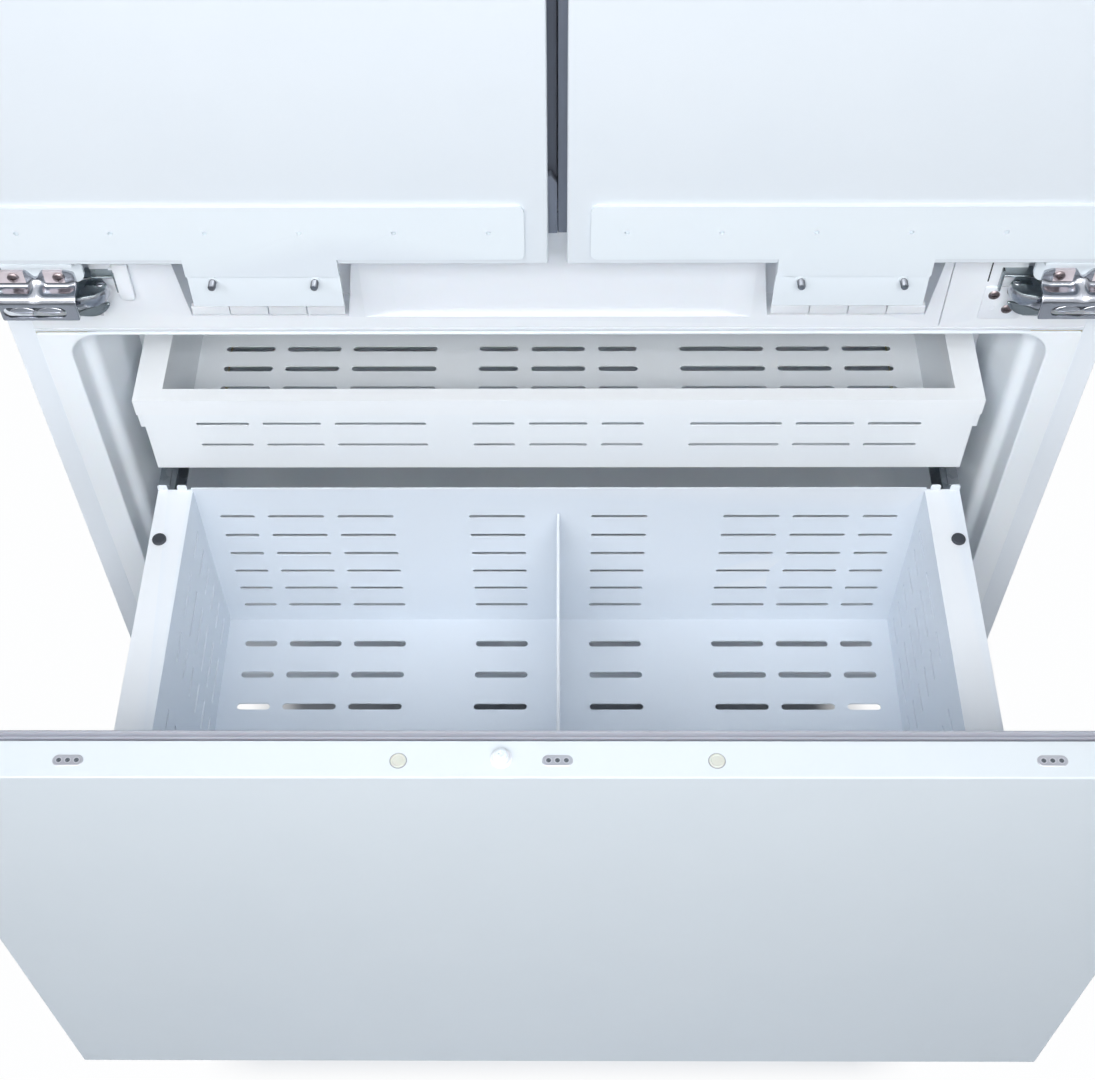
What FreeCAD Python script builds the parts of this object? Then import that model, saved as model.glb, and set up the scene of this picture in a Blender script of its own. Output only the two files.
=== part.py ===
import FreeCAD, Part
import math
import os

os.makedirs("parts", exist_ok=True)

# A tall built-in refrigerator, panel-ready, without its wooden fronts.
# Two side-hung fridge doors stand closed above one deep freezer drawer, drawn out.
# X runs across the front, Y from the front to the back, and Z up from the floor.
# Places along Y are worked out from the cabinet's front plane; save() moves them to the middle
# of the footprint. Pieces that exist on both sides are built at the left and mirrored.

# Cabinet
cabinet_width = 902.0
cabinet_height = 2120.0
cabinet_depth = 560.0
sheet = 1.2
wall = 2.0
front_return = 20.0
seat_gap = 0.3
running_gap = 0.05
through = 1.0
header_height = 70.0
ceiling_step = 20.0
side_bottom = 25.0
tolerance = 0.001

# Doors
skin_depth = 28.0
gasket_depth = 11.0
gasket_width = 12.0
gasket_inset = 4.0
door_pan_edge = 4.0
door_pan_room = 16.0
pan_hinge_margin = 50.0
pan_gap_margin = 38.0
door_gap = 14.0
door_rise = 108.5
fridge_bulge = 4.0

# Freezer drawer
freezer_door_bottom = 114.0
freezer_door_height = 566.0
basket_stop = 19.3
basket_side_room = 69.0
flange_width = 32.0
basket_rim_drop = 212.0
basket_hump_gap = 18.0
basket_rear_y = -3.0
basket_skirt = 8.0
back_wall_rise = 3.0
basket_tab_height = 7.0
basket_tab_width = 9.0
basket_tab_gap = 9.0
bumper_radius = 6.3
bumper_height = 3.0
bumper_inset = 58.0
divider_drop = 35.0
divider_thickness = 3.0

# Slots of the basket, as shares of its half width and depth
column_shares = ((0.092, 0.249), (0.460, 0.617), (0.654, 0.811), (0.848, 0.945))
side_slot_shares = ((0.048, 0.133), (0.176, 0.314), (0.351, 0.436))
slot_height = 4.5
floor_slot_width = 7.0
first_row = 40.0
last_row = 27.0
row_count = 6
floor_first_row = 31.0
floor_last_row = 46.0
floor_rows = 9

# Upper freezer tray
tray_front_y = 12.0
tray_top_drop = 105.0
tray_side_room = 32.5
tray_lip_width = 25.0
tray_front_lip = 14.0
tray_lip_height = 19.0
tray_fascia_inset = 4.5
tray_height = 94.5
tray_rear_room = 10.0
tray_slot_row = 33.0
tray_slot_pitch = 29.0
tray_column_shares = ((0.104, 0.205), (0.315, 0.534), (0.566, 0.706), (0.738, 0.865))
tray_centre_share = 0.070
tray_floor_first = 33.0
tray_floor_last = 41.0
tray_floor_band = 12.0
tray_floor_rows = 10
runner_block_y = 110.0
tray_slot_height = 4.0

# Slide rails
rail_rear_room = 38.0
rail_front_y = 10.0
rail_height = 40.0
rail_side_room = 33.0
rail_wall = 1.5
rail_channel = 10.5
rail_drop = 10.0
rail_ratio = 0.5
rail_middle_cut = 40.0
rail_block_length = 40.0
rail_block_height = 24.0

# Freezer liner: how far its walls step in, and at which depth
freezer_side_wall = 44.0
freezer_opening_drop = 9.6
freezer_floor = 140.0
freezer_rear_wall = 52.0
freezer_corner = 27.0
step_insets = (0.0, 2.5, 13.0, 19.0, 19.0)
front_step_depths = (0.0, 19.0, 27.0, 70.0)
hump_top = 235.0
hump_wall = 6.0
evaporator_cover_room = 113.0
upper_cover_room = 53.0
cover_side_room = 62.0
cover_shelf_drop = 196.4
grille_rise = 27.0
grille_bar = 4.0
grille_pitch = 22.0
grille_inset = 55.0
grille_low_gap = 6.0

# Crossbar between the compartments
crossbar_rise = 137.6
crossbar_depth = 32.0
crossbar_round = 5.0
crossbar_groove = 1.0
crossbar_groove_rise = 9.0
pocket_depth = 26.0
pocket_top_insets = (288.0, 147.0)
pocket_low_insets = (281.0, 153.0)
pocket_top_rise = 70.0
pocket_floor_rise = 13.0
pocket_roof_rise = 100.0
pocket_ribs = 3
rib_thickness = 1.2
rib_height = 1.5
recess_land = 6.0
recess_ramp = 25.0
recess_depth = 4.0
recess_floor_rise = 12.0
recess_roof_rise = 98.0
hinge_pocket_insets = (81.0, 23.0)
hinge_pocket_rise = (14.0, 96.0)
hinge_pocket_depth = 24.0
boss_insets = (110.0, 96.0)
boss_rise = (31.0, 69.0)
boss_thickness = 1.5
cover_plate_width = 119.0
cover_plate_thickness = 3.0
cover_plate_gap = 1.0
cover_screw_insets = (102.0, 88.5)
cover_screw_rise = (37.2, 21.4)
guide_half = 9.0
guide_height = 18.0
guide_depth = 3.0
edge_radius = 3.0

# Fridge liner
fridge_side_wall = 42.0
fridge_corner = 24.0
fridge_rear_wall = 55.0
fridge_step_insets = (0.0, 2.0, 12.0, 12.0)
fridge_front_depths = (0.0, 20.0, 40.0)
shelf_thickness = 5.0
shelf_front_y = 132.0
shelf_rear_gap = 27.0
shelf_side_gap = 1.5
rib_out = 8.0
rib_tall = 6.0
shelf_shares = (0.46, 0.64, 0.81)
crisper_shelf_rise = 178.0
crisper_height = 165.0
crisper_wall = 2.5
crisper_gap = 6.0
crisper_rear_room = 38.0
grip_share = 0.3
duct_half = 140.0
duct_depth = 24.0
duct_share = 0.88
duct_slot_share = 0.7
duct_outlet_shares = (0.15, 0.38, 0.61, 0.84)
panel_half = 130.0
panel_depth = 90.0
panel_height = 22.0
panel_front_y = 140.0

# Door pieces
rail_plate_low = 7.5
rail_plate_height = 52.0
rail_plate_thickness = 3.0
rail_plate_margin = 17.5
rail_plate_corner = 6.0
rail_outer_margin = 8.0
rail_hole_radius = 1.9
rail_hole_first = 51.0
rail_hole_inset = 52.0
rail_hole_count = 6
rail_hole_rise = 27.0
tab_insets = (285.5, 169.0)
tab_drop = 10.0
stud_plate_thickness = 2.5
stud_plate_drop = 44.9
stud_leg_depth = 20.0
stud_radius = 3.0
stud_length = 9.3
stud_drop = 16.5
stud_inset = 19.3
bin_half_gap = 50.0
bin_inset = 63.0
bin_depth = 96.0
bin_height = 88.0
bin_wall = 2.5
bin_shares = (0.10, 0.42, 0.74)
bin_corner = 18.0

# Hinges, from the cabinet's side and the door's lower edge
pivot_inset = 8.0
pivot_depth = 8.0
pivot_radius = 4.0
arm_thickness = 3.0
arm_gap = 0.5
arm_half = 7.0
arm_leg_drop = 40.0
carrier_thickness = 3.0
carrier_insets = (84.0, 21.0)
carrier_y = 18.0
carrier_drop = 36.0
carrier_corner = 9.0
bracket_insets = (74.0, 15.0)
bracket_thickness = 2.5
ear_drop = 22.5
ledge_drop = 40.0
plate_drop = 61.0
plate_y = 38.5
ear_shares = ((0.0, 0.39), (0.59, 0.88))
window_insets = (68.0, 18.0)
window_drop = 52.0
window_height = 11.0
hinge_screw_insets = (64.6, 29.4)
hinge_screw_drop = 28.2
screw_head_radius = 4.6
screw_head_height = 2.2
screw_recess_radius = 1.3
screw_recess_depth = 1.1
screw_recess_share = 0.6
link_pivot_inset = 89.0
link_pivot_y = 6.5
link_pin_radius = 2.5
link_half = 5.5
link_reach = 53.0
link_reach_y = 21.0
link_thickness = 3.0
link_drops = (47.5, 53.5)
cup_insets = (94.0, 67.0)
cup_drops = (42.0, 60.0)
cup_thickness = 2.0
cup_front_y = 12.0
cup_room = 2.0
tongue_insets = (88.0, 61.0)
tongue_drops = (75.0, 90.0)
tongue_front_y = 9.0

# Folding centre bar
bar_left_x = 33.0
bar_right_x = 0.0
bar_front_y = 1.5
bar_depth = 16.0
bar_pivot_x = 29.0
bar_pin_radius = 2.5
bar_bore_depth = 12.0
bar_end_gap = 1.0
bar_bracket_thickness = 3.0
bar_bracket_half = 4.0
bar_end_room = 2.0
strip_left_x = 4.0

# Freezer door edge fixings
adjuster_insets = (120.0, 118.0)
adjuster_length = 20.8
adjuster_width = 8.2
adjuster_thickness = 1.0
adjuster_hole_radius = 1.7
adjuster_hole_pitch = 6.0
fixing_y_inset = 13.0
plug_x = 107.5
plug_radius = 5.3
plug_height = 1.2
standoff_x = -38.0
standoff_radius = 6.0
standoff_height = 5.0
standoff_inset = 14.5
standoff_foot_radius = 7.5
standoff_foot_height = 1.2

# Machine compartment and base
machine_depth = 224.0
machine_ceiling = 228.0
tray_plate_z = 58.0
foot_radius = 25.0
foot_height = 10.0
stem_radius = 6.0
foot_inset = 46.0
front_foot_y = 75.0
rear_foot_inset = 45.0
base_front_y = 40.0
rail_thickness = 16.0
base_top = 106.0
toe_bottom = 30.0
toe_top = 104.0
toe_slots = 9
toe_slot_height = 3.5
toe_slot_pitch = 7.0
toe_slot_share = 0.8
compressor_radius = 74.0
compressor_height = 95.0
compressor_inset = 191.0
machine_middle_inset = 113.0
compressor_foot = 6.0
compressor_dome_share = 0.45
compressor_corner_share = 0.3
stub_shares = (-0.4, 0.0, 0.4)
condenser_start_x = 60.0
condenser_inset = 121.0
condenser_height = 120.0
condenser_depth = 150.0
fin_count = 18
fin_thickness = 0.8
tube_radius = 4.0
tube_columns = 4
tube_rows = 3
fan_radius = 58.0
fan_hub_radius = 17.0
fan_hub_length = 18.0
fan_blades = 5
blade_thickness = 2.0
blade_tilt = 28.0
blade_chord_share = 0.9
shaft_radius = 3.0
condenser_fan_x = 0.0
fan_plate = 3.0
fan_clear = 4.0
motor_radius = 20.0
motor_length = 22.0
evaporator_inset = 45.0
evaporator_depth = 70.0
evaporator_room = 89.0
evaporator_fin_count = 30
vent_slots = 10
vent_slot_height = 5.0
vent_slot_pitch = 12.0
vent_inlet_gap = 19.0
vent_share = 2 / 3
fan_grille_slots = 7
inlet_width = 50.0
inlet_height = 28.0
inlet_depth = 22.0
inlet_inset = 121.0
socket_width = 27.0
socket_height = 19.0
socket_depth = 14.0
socket_pin_shares = (-0.28, 0.0, 0.28)

# Derived places
half = cabinet_width / 2
flange_outer_half = half - front_return
freezer_opening_half = half - freezer_side_wall
fridge_opening_half = half - fridge_side_wall
basket_half_width = freezer_opening_half - basket_side_room
tray_half_width = freezer_opening_half - tray_side_room
tray_fascia_half = tray_half_width - tray_fascia_inset
rail_outer_x = freezer_opening_half - rail_side_room
cover_half = freezer_opening_half - cover_side_room
grille_half = cover_half - grille_inset
evaporator_half = cover_half - evaporator_inset
freezer_depth = cabinet_depth - freezer_rear_wall
fridge_depth = cabinet_depth - fridge_rear_wall
step_depths = front_step_depths + (freezer_depth,)
fridge_step_depths = fridge_front_depths + (fridge_depth,)
machine_front_y = cabinet_depth - machine_depth
machine_middle_y = cabinet_depth - machine_middle_inset
hump_front_y = machine_front_y - hump_wall
evaporator_cover_y = freezer_depth - evaporator_cover_room
upper_cover_y = freezer_depth - upper_cover_room
drawer_travel = evaporator_cover_y - basket_stop
tray_depth = hump_front_y - tray_rear_room
tray_floor_run = tray_depth - tray_floor_first - tray_floor_band - tray_floor_last
tray_floor_pitch = tray_floor_run / (tray_floor_rows - 1)
rail_length = freezer_depth - rail_rear_room - rail_front_y
rail_middle_length = rail_length - rail_middle_cut
crisper_depth = fridge_depth - shelf_front_y - crisper_rear_room
foot_x = half - foot_inset
foot_ys = (front_foot_y, cabinet_depth - rear_foot_inset)
compressor_x = compressor_inset - half
condenser_x = (condenser_start_x, half - condenser_inset)
inlet_x = inlet_inset - half
inlet_hole_x = inlet_x + (inlet_width + socket_width) / 2 + wall
vent_reach = (-inlet_hole_x - vent_inlet_gap) * vent_share
pocket_top_half = tuple(half - inset for inset in pocket_top_insets)
pocket_low_half = tuple(half - inset for inset in pocket_low_insets)
recess_half = pocket_top_half[0] - recess_land
cover_plate_x = flange_outer_half - cover_plate_width
hinge_pocket_x = tuple(half - inset for inset in hinge_pocket_insets)
boss_x = tuple(half - inset for inset in boss_insets)
cover_screw_x = tuple(half - inset for inset in cover_screw_insets)
rail_hole_pitch = (half - rail_hole_inset - rail_hole_first) / (rail_hole_count - 1)
tab_x = tuple(half - inset for inset in tab_insets)
bin_outer = half - bin_inset
carrier_x = tuple(half - inset for inset in carrier_insets)
bracket_x = tuple(half - inset for inset in bracket_insets)
window_x = tuple(half - inset for inset in window_insets)
hinge_screw_x = tuple(half - inset for inset in hinge_screw_insets)
link_pivot_x = half - link_pivot_inset
cup_x = tuple(half - inset for inset in cup_insets)
tongue_x = tuple(half - inset for inset in tongue_insets)
adjuster_x = (adjuster_insets[0] - half, 0, half - adjuster_insets[1])
door_stand = skin_depth + gasket_depth + seat_gap
freezer_top = freezer_door_bottom + freezer_door_height
freezer_front_y = -door_stand - drawer_travel
freezer_seal_y = freezer_front_y + skin_depth + gasket_depth
basket_front_y = freezer_seal_y
basket_rim = freezer_top - basket_rim_drop
basket_floor = hump_top + basket_hump_gap
basket_length = basket_rear_y - basket_front_y
row_pitch = (basket_rim - basket_floor - first_row - last_row) / (row_count - 1)
floor_pitch = (basket_length - floor_first_row - floor_last_row) / (floor_rows - 1)
crossbar_bottom = freezer_top - freezer_opening_drop
crossbar_top = crossbar_bottom + crossbar_rise
door_bottom = freezer_top + door_rise
door_top = cabinet_height - header_height
door_middle = (door_bottom + door_top) / 2
door_front_y = -door_stand
skin_rear_y = door_front_y + skin_depth
tray_top = freezer_top - tray_top_drop
tray_bottom = tray_top - tray_height
footprint_middle_y = (freezer_front_y + cabinet_depth) / 2
pivot_x = half - pivot_inset
pivot_y = door_front_y + pivot_depth
fridge_ceiling = door_top - ceiling_step
cover_shelf = crossbar_bottom - cover_shelf_drop
evaporator_height = cover_shelf - hump_top - evaporator_room


def box(x, y, z):
    """A block between two places along each axis."""
    corner = FreeCAD.Vector(min(x), min(y), min(z))
    return Part.makeBox(abs(x[1] - x[0]), abs(y[1] - y[0]), abs(z[1] - z[0]), corner)


def rod(radius, start, end):
    """A round bar between two points."""
    low = FreeCAD.Vector(*start)
    way = FreeCAD.Vector(*end) - low
    return Part.makeCylinder(radius, way.Length, low, way)


def fuse(shapes):
    """One solid made of touching shapes."""
    first, rest = shapes[0], shapes[1:]
    return first.fuse(rest).removeSplitter() if rest else first


def mirrored(shape):
    """The same shape at the right side."""
    return shape.mirror(FreeCAD.Vector(0, 0, 0), FreeCAD.Vector(1, 0, 0))


def upside_down(shape):
    """The same shape at the other end of the fridge doors."""
    return shape.mirror(FreeCAD.Vector(0, 0, door_middle), FreeCAD.Vector(0, 0, 1))


def both_ends(shape):
    """A door piece at the door's lower and upper edge."""
    return [shape, upside_down(shape)]


def both_sides(shape):
    """A piece at the left and its twin at the right."""
    return [shape, mirrored(shape)]


def save(node, *shapes):
    """Writes a node's separate solids."""
    solids = []
    for shape in shapes:
        for solid in shape.Solids:
            moved = solid.copy()
            moved.translate(FreeCAD.Vector(0, -footprint_middle_y, 0))
            solids.append(moved)
    whole = solids[0] if len(solids) == 1 else Part.makeCompound(solids)
    whole.exportStep("parts/" + node + ".step")


def outline(points):
    """A closed wire of straight edges."""
    return Part.makePolygon(points + points[:1])


def rounded_outline(x, z, y, radius):
    """A rectangle with round corners, upright, facing the front."""
    low, high = FreeCAD.Vector(x[0], y, z[0]), FreeCAD.Vector(x[1], y, z[1])
    across, up = FreeCAD.Vector(radius, 0, 0), FreeCAD.Vector(0, 0, radius)
    diagonal = math.sqrt(0.5)
    corners = (
        (low, across, up),
        (FreeCAD.Vector(high.x, y, low.z), up, -across),
        (high, -across, -up),
        (FreeCAD.Vector(low.x, y, high.z), -up, across),
    )
    edges = []
    for index, (corner, along, inward) in enumerate(corners):
        centre = corner + along + inward
        start = corner + inward
        end = corner + along
        middle = centre - (along + inward) * diagonal
        edges.append(Part.Arc(start, middle, end).toShape())
        following, next_along, next_inward = corners[(index + 1) % len(corners)]
        edges.append(Part.makeLine(end, following + next_inward))
    return Part.Wire(edges)


def slot_outline(middle, along, across, length, height):
    """A slot with round ends, around its middle."""
    radius = height / 2
    straight = along * (length / 2 - radius)
    tip = along * (length / 2)
    side = across * radius
    corner_a, corner_b = middle - straight - side, middle + straight - side
    corner_c, corner_d = middle + straight + side, middle - straight + side
    edges = [
        Part.makeLine(corner_a, corner_b),
        Part.Arc(corner_b, middle + tip, corner_c).toShape(),
        Part.makeLine(corner_c, corner_d),
        Part.Arc(corner_d, middle - tip, corner_a).toShape(),
    ]
    return Part.Wire(edges)


def holed_plate(outer, holes, thickness):
    """A flat plate with holes, drawn out by a thickness vector."""
    face = Part.makeFace([outer] + holes, "Part::FaceMakerBullseye")
    return face.extrude(thickness)


ALONG_X = FreeCAD.Vector(1, 0, 0)
ALONG_Y = FreeCAD.Vector(0, 1, 0)
ALONG_Z = FreeCAD.Vector(0, 0, 1)


def stepped_void(half_width, low, high, corner, insets, depths, grow):
    """The room inside a liner: rounded sections that step inward with depth, grown by a wall."""
    bands = []
    for index in range(len(insets) - 1):
        wires = []
        for inset, depth in zip(insets[index:index + 2], depths[index:index + 2]):
            reach = half_width - inset + grow
            back = depth + (grow if depth == depths[-1] else 0)
            height = (low + inset - grow, high - inset + grow)
            wires.append(rounded_outline((-reach, reach), height, back, corner))
        bands.append(Part.makeLoft(wires, True, True))
    return fuse(bands)


def freezer_void(grow):
    """The freezer compartment's room, above the machine hump."""
    room = stepped_void(freezer_opening_half, freezer_floor, crossbar_bottom, freezer_corner,
                        step_insets, step_depths, grow)
    reach = freezer_opening_half + wall + through
    hump_z = (freezer_floor - wall - through, hump_top - grow)
    hump = box((-reach, reach), (hump_front_y + grow, freezer_depth + wall + through), hump_z)
    return room.cut(hump)


def fridge_void(grow):
    """The fridge compartment's room."""
    return stepped_void(fridge_opening_half, crossbar_top, fridge_ceiling, fridge_corner,
                        fridge_step_insets, fridge_step_depths, grow)


# Cabinet

def header_pocket(grow):
    """The small recess above the left door that holds the upper hinge's cup, grown by a sheet."""
    x = (-cup_x[1] - cup_room - grow, -hinge_pocket_x[0] + grow)
    low = door_bottom - cup_drops[1] - cup_room - grow
    high = door_bottom - cup_drops[0] + cup_room + grow
    return upside_down(box(x, (0, hinge_pocket_depth + grow), (low, high)))


def cabinet_shell():
    """Side and top sheets, the narrow returns at the front and the header with its hinge recesses."""
    side = box((-half, -half + sheet), (0, cabinet_depth - sheet), (side_bottom, cabinet_height))
    front = box((-half, -half + front_return), (0, sheet), (side_bottom, cabinet_height))
    top = box((-half, half), (0, cabinet_depth - sheet), (cabinet_height - sheet, cabinet_height))
    header_low = fridge_ceiling + wall + seat_gap
    header = box((-half, half), (0, sheet), (header_low, cabinet_height))
    shell = fuse(both_sides(side) + both_sides(front) + [top, header] + both_sides(header_pocket(sheet)))
    return shell.cut(both_sides(header_pocket(0)))


def back_panel():
    """Rear sheet, with vent slots at the machine room and an opening at the mains inlet."""
    outer = outline([
        FreeCAD.Vector(-half, cabinet_depth - sheet, tray_plate_z),
        FreeCAD.Vector(half, cabinet_depth - sheet, tray_plate_z),
        FreeCAD.Vector(half, cabinet_depth - sheet, cabinet_height),
        FreeCAD.Vector(-half, cabinet_depth - sheet, cabinet_height),
    ])
    rear = cabinet_depth - sheet
    holes = []
    vent_top = machine_ceiling - vent_slot_pitch
    for row in range(vent_slots):
        for side in (-1, 1):
            middle = FreeCAD.Vector(side * vent_reach, rear, vent_top - row * vent_slot_pitch)
            holes.append(slot_outline(middle, ALONG_X, ALONG_Z, vent_reach, vent_slot_height))
    x, z = inlet_place()
    reach = (x - socket_width / 2 - wall, x + socket_width / 2 + wall)
    rise = (z - socket_height / 2 - wall, z + socket_height / 2 + wall)
    holes.append(rounded_outline(reach, rise, rear, wall))
    return holed_plate(outer, holes, ALONG_Y * sheet)


def mullion_room():
    """The space that the crossbar cover fills between the two liners' walls."""
    return box((-flange_outer_half, flange_outer_half), (0, crossbar_depth),
               (crossbar_bottom + wall, crossbar_top - wall))


def insulation_foam():
    """Foam between the outer sheets and the liners, above the machine room."""
    block = box((-half + sheet, half - sheet), (sheet, cabinet_depth - sheet),
                (base_top, cabinet_height - sheet))
    machine = box((-half, half), (machine_front_y, cabinet_depth), (0, machine_ceiling))
    flanges = box((-flange_outer_half, flange_outer_half), (0, wall), (base_top, fridge_ceiling + wall))
    bar = box((-flange_outer_half, flange_outer_half), (0, crossbar_depth), (crossbar_bottom, crossbar_top))
    block = block.cut([freezer_void(wall), fridge_void(wall), bar, machine])
    return block.cut([flanges] + both_sides(header_pocket(sheet)))


def liner(room, grown, low, high):
    """A vacuum-formed box with a flange round its opening."""
    flange = box((-flange_outer_half, flange_outer_half), (0, wall), (low, high))
    return grown.fuse(flange).cut(room).removeSplitter()


def freezer_liner():
    """Freezer liner with its stepped walls and machine hump."""
    return liner(freezer_void(0), freezer_void(wall), base_top + seat_gap, crossbar_bottom)


def fridge_liner():
    """Fridge liner with the wall ribs that carry the shelves."""
    shape = liner(fridge_void(0), fridge_void(wall), crossbar_top, fridge_ceiling + wall)
    inner = fridge_opening_half - fridge_step_insets[-1]
    ribs = []
    for level in shelf_levels():
        rib = box((-inner, -inner + rib_out), (shelf_front_y, fridge_depth), (level - rib_tall, level))
        ribs += both_sides(rib)
    return shape.fuse(ribs).removeSplitter()


def shelf_levels():
    """Heights of the ribs' tops, from the crispers' cover upward."""
    low, high = crossbar_top + fridge_step_insets[-1], fridge_ceiling
    return [low + crisper_shelf_rise] + [low + share * (high - low) for share in shelf_shares]


def trapezoid(top, low, low_z, high_z, y, depth):
    """A block whose upright sides lean, as seen from the front."""
    points = [
        FreeCAD.Vector(-low[1], y, low_z),
        FreeCAD.Vector(-low[0], y, low_z),
        FreeCAD.Vector(-top[0], y, high_z),
        FreeCAD.Vector(-top[1], y, high_z),
    ]
    return Part.Face(outline(points)).extrude(ALONG_Y * depth)


def stud_pocket(grow):
    """The recess behind the left stud bracket, grown by a wall."""
    lean = pocket_roof_rise - pocket_floor_rise
    share = lean / (pocket_top_rise - pocket_floor_rise)
    tops = [low + (top - low) * share for low, top in zip(pocket_low_half, pocket_top_half)]
    low = (pocket_low_half[0] - grow, pocket_low_half[1] + grow)
    top = (tops[0] - grow, tops[1] + grow)
    return trapezoid(top, low, freezer_top + pocket_floor_rise - grow,
                     freezer_top + pocket_roof_rise + grow, 0, pocket_depth + grow)


def hinge_pocket(grow):
    """The recess that the left lower hinge folds into, grown by a wall."""
    x = (-hinge_pocket_x[1] - grow, -hinge_pocket_x[0] + grow)
    z = (freezer_top + hinge_pocket_rise[0] - grow, freezer_top + hinge_pocket_rise[1] + grow)
    return box(x, (0, hinge_pocket_depth + grow), z)


def centre_recess(grow):
    """The shallow middle recess with sloping ends, grown by a wall."""
    low, high = freezer_top + recess_floor_rise - grow, freezer_top + recess_roof_rise + grow
    reach, ramp = recess_half + grow, recess_ramp
    depth = recess_depth + grow
    points = [
        FreeCAD.Vector(-reach, 0, low),
        FreeCAD.Vector(reach, 0, low),
        FreeCAD.Vector(reach - ramp, depth, low),
        FreeCAD.Vector(ramp - reach, depth, low),
    ]
    return Part.Face(outline(points)).extrude(ALONG_Z * (high - low))


def cover_plate(gap):
    """The flat hinge cover at the right end of the crossbar, or its seat with a gap round it."""
    x = (cover_plate_x - gap, flange_outer_half)
    z = (crossbar_bottom + crossbar_groove_rise, door_bottom - seat_gap)
    return box(x, (0, cover_plate_thickness), z)


def crossbar_cover():
    """Moulded front of the crossbar, with its recesses, ribs and the boss at the left hinge."""
    recesses = both_sides(stud_pocket(0)) + both_sides(hinge_pocket(0)) + [centre_recess(0)]
    walls = both_sides(stud_pocket(wall)) + both_sides(hinge_pocket(wall)) + [centre_recess(wall)]
    inner = box((-flange_outer_half + wall, flange_outer_half - wall), (wall, crossbar_depth),
                (crossbar_bottom + 2 * wall, crossbar_top - 2 * wall))
    seat_wall = box((cover_plate_x - cover_plate_gap - wall, flange_outer_half),
                    (0, cover_plate_thickness + wall), (crossbar_bottom, crossbar_top))
    block = mullion_room()
    low_front = [edge for edge in upright_edges(block, ALONG_X)
                 if edge.BoundBox.ZMax < crossbar_bottom + 2 * wall and edge.BoundBox.YMax < wall]
    block = block.makeFillet(crossbar_round, low_front)
    low = crossbar_bottom + crossbar_groove_rise
    groove = box((-half, half), (-through, crossbar_groove), (low - crossbar_groove, low))
    shape = block.cut(inner.cut(walls + [seat_wall])).cut(recesses + [groove])
    shape = shape.cut(cover_plate(cover_plate_gap))
    ribs = []
    low_z = freezer_top + pocket_floor_rise
    span = pocket_low_half[1] - pocket_low_half[0]
    for index in range(pocket_ribs):
        x = -pocket_low_half[0] - span * (index + 1) / (pocket_ribs + 1)
        rib = box((x - rib_thickness / 2, x + rib_thickness / 2), (0, pocket_depth),
                  (low_z, low_z + rib_height))
        ribs += both_sides(rib)
    boss_z = (freezer_top + boss_rise[0], freezer_top + boss_rise[1])
    boss = box((-boss_x[1], -boss_x[0]), (-boss_thickness, 0), boss_z)
    boss = boss.makeFillet(edge_radius, upright_edges(boss, ALONG_Y))
    return shape.fuse(ribs + [boss]).removeSplitter()


def upright_edges(shape, way):
    """The straight edges of a block that run along one axis."""
    return [edge for edge in shape.Edges if abs(abs(edge.tangentAt(0).dot(way)) - 1) < 1e-6]


def hinge_cover_right():
    """Flat cover over the crossbar's right end, open at the hinge and holed for its screws."""
    plate = cover_plate(0)
    opening = mirrored(hinge_pocket(0))
    holes = [rod(screw_recess_radius, (x, -through, z), (x, cover_plate_thickness + through, z))
             for x, z in cover_screws()]
    return plate.cut([opening] + holes)


def cover_screws():
    """Places of the two screws beside the right hinge."""
    return [(x, freezer_top + rise) for x, rise in zip(cover_screw_x, cover_screw_rise)]


def screw(place, way):
    """A flat-headed screw with a cross recess, its head's seat at a place."""
    head_end = place + way * screw_head_height
    head = Part.makeCylinder(screw_head_radius, screw_head_height, place, way)
    side = ALONG_X
    other = way.cross(side)
    reach = screw_head_radius * screw_recess_share
    recess_start = head_end - way * screw_recess_depth
    cuts = []
    for along, across in ((side, other), (other, side)):
        corner = recess_start - along * reach - across * (screw_recess_radius / 2)
        far = corner + along * (2 * reach)
        width = across * screw_recess_radius
        cross = Part.Face(outline([corner, far, far + width, corner + width]))
        cuts.append(cross.extrude(way * (screw_recess_depth + through)))
    return head.cut(cuts)


def cabinet_screws():
    """Screws of the right hinge's cover plate and of the hinge arms."""
    seats = [FreeCAD.Vector(x, 0, z) for x, z in cover_screws()]
    screws = [screw(seat, -ALONG_Y) for seat in seats]
    arm_z = door_bottom - arm_leg_drop + arm_half
    arm_seat = FreeCAD.Vector(-pivot_x, -arm_thickness, arm_z)
    arm_screw = screw(arm_seat, -ALONG_Y)
    for end in both_ends(arm_screw):
        screws += both_sides(end)
    return screws


def bar_guide():
    """Block that steers the folding centre bar, on the crossbar between the two doors."""
    low = door_bottom
    block = box((-guide_half, guide_half), (-guide_depth, 0), (low, low + guide_height))
    return block.makeChamfer(guide_depth / 2, upright_edges(block, ALONG_Y))


def toe_grille():
    """Slotted board that closes the front of the base."""
    outer = outline([
        FreeCAD.Vector(-half + wall, base_front_y, toe_bottom),
        FreeCAD.Vector(half - wall, base_front_y, toe_bottom),
        FreeCAD.Vector(half - wall, base_front_y, toe_top),
        FreeCAD.Vector(-half + wall, base_front_y, toe_top),
    ])
    holes = []
    low = (toe_bottom + toe_top - (toe_slots - 1) * toe_slot_pitch) / 2
    for row in range(toe_slots):
        for side in (-1, 1):
            middle = FreeCAD.Vector(side * half / 2, base_front_y, low + row * toe_slot_pitch)
            holes.append(slot_outline(middle, ALONG_X, ALONG_Z, half * toe_slot_share, toe_slot_height))
    return holed_plate(outer, holes, ALONG_Y * wall)


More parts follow.
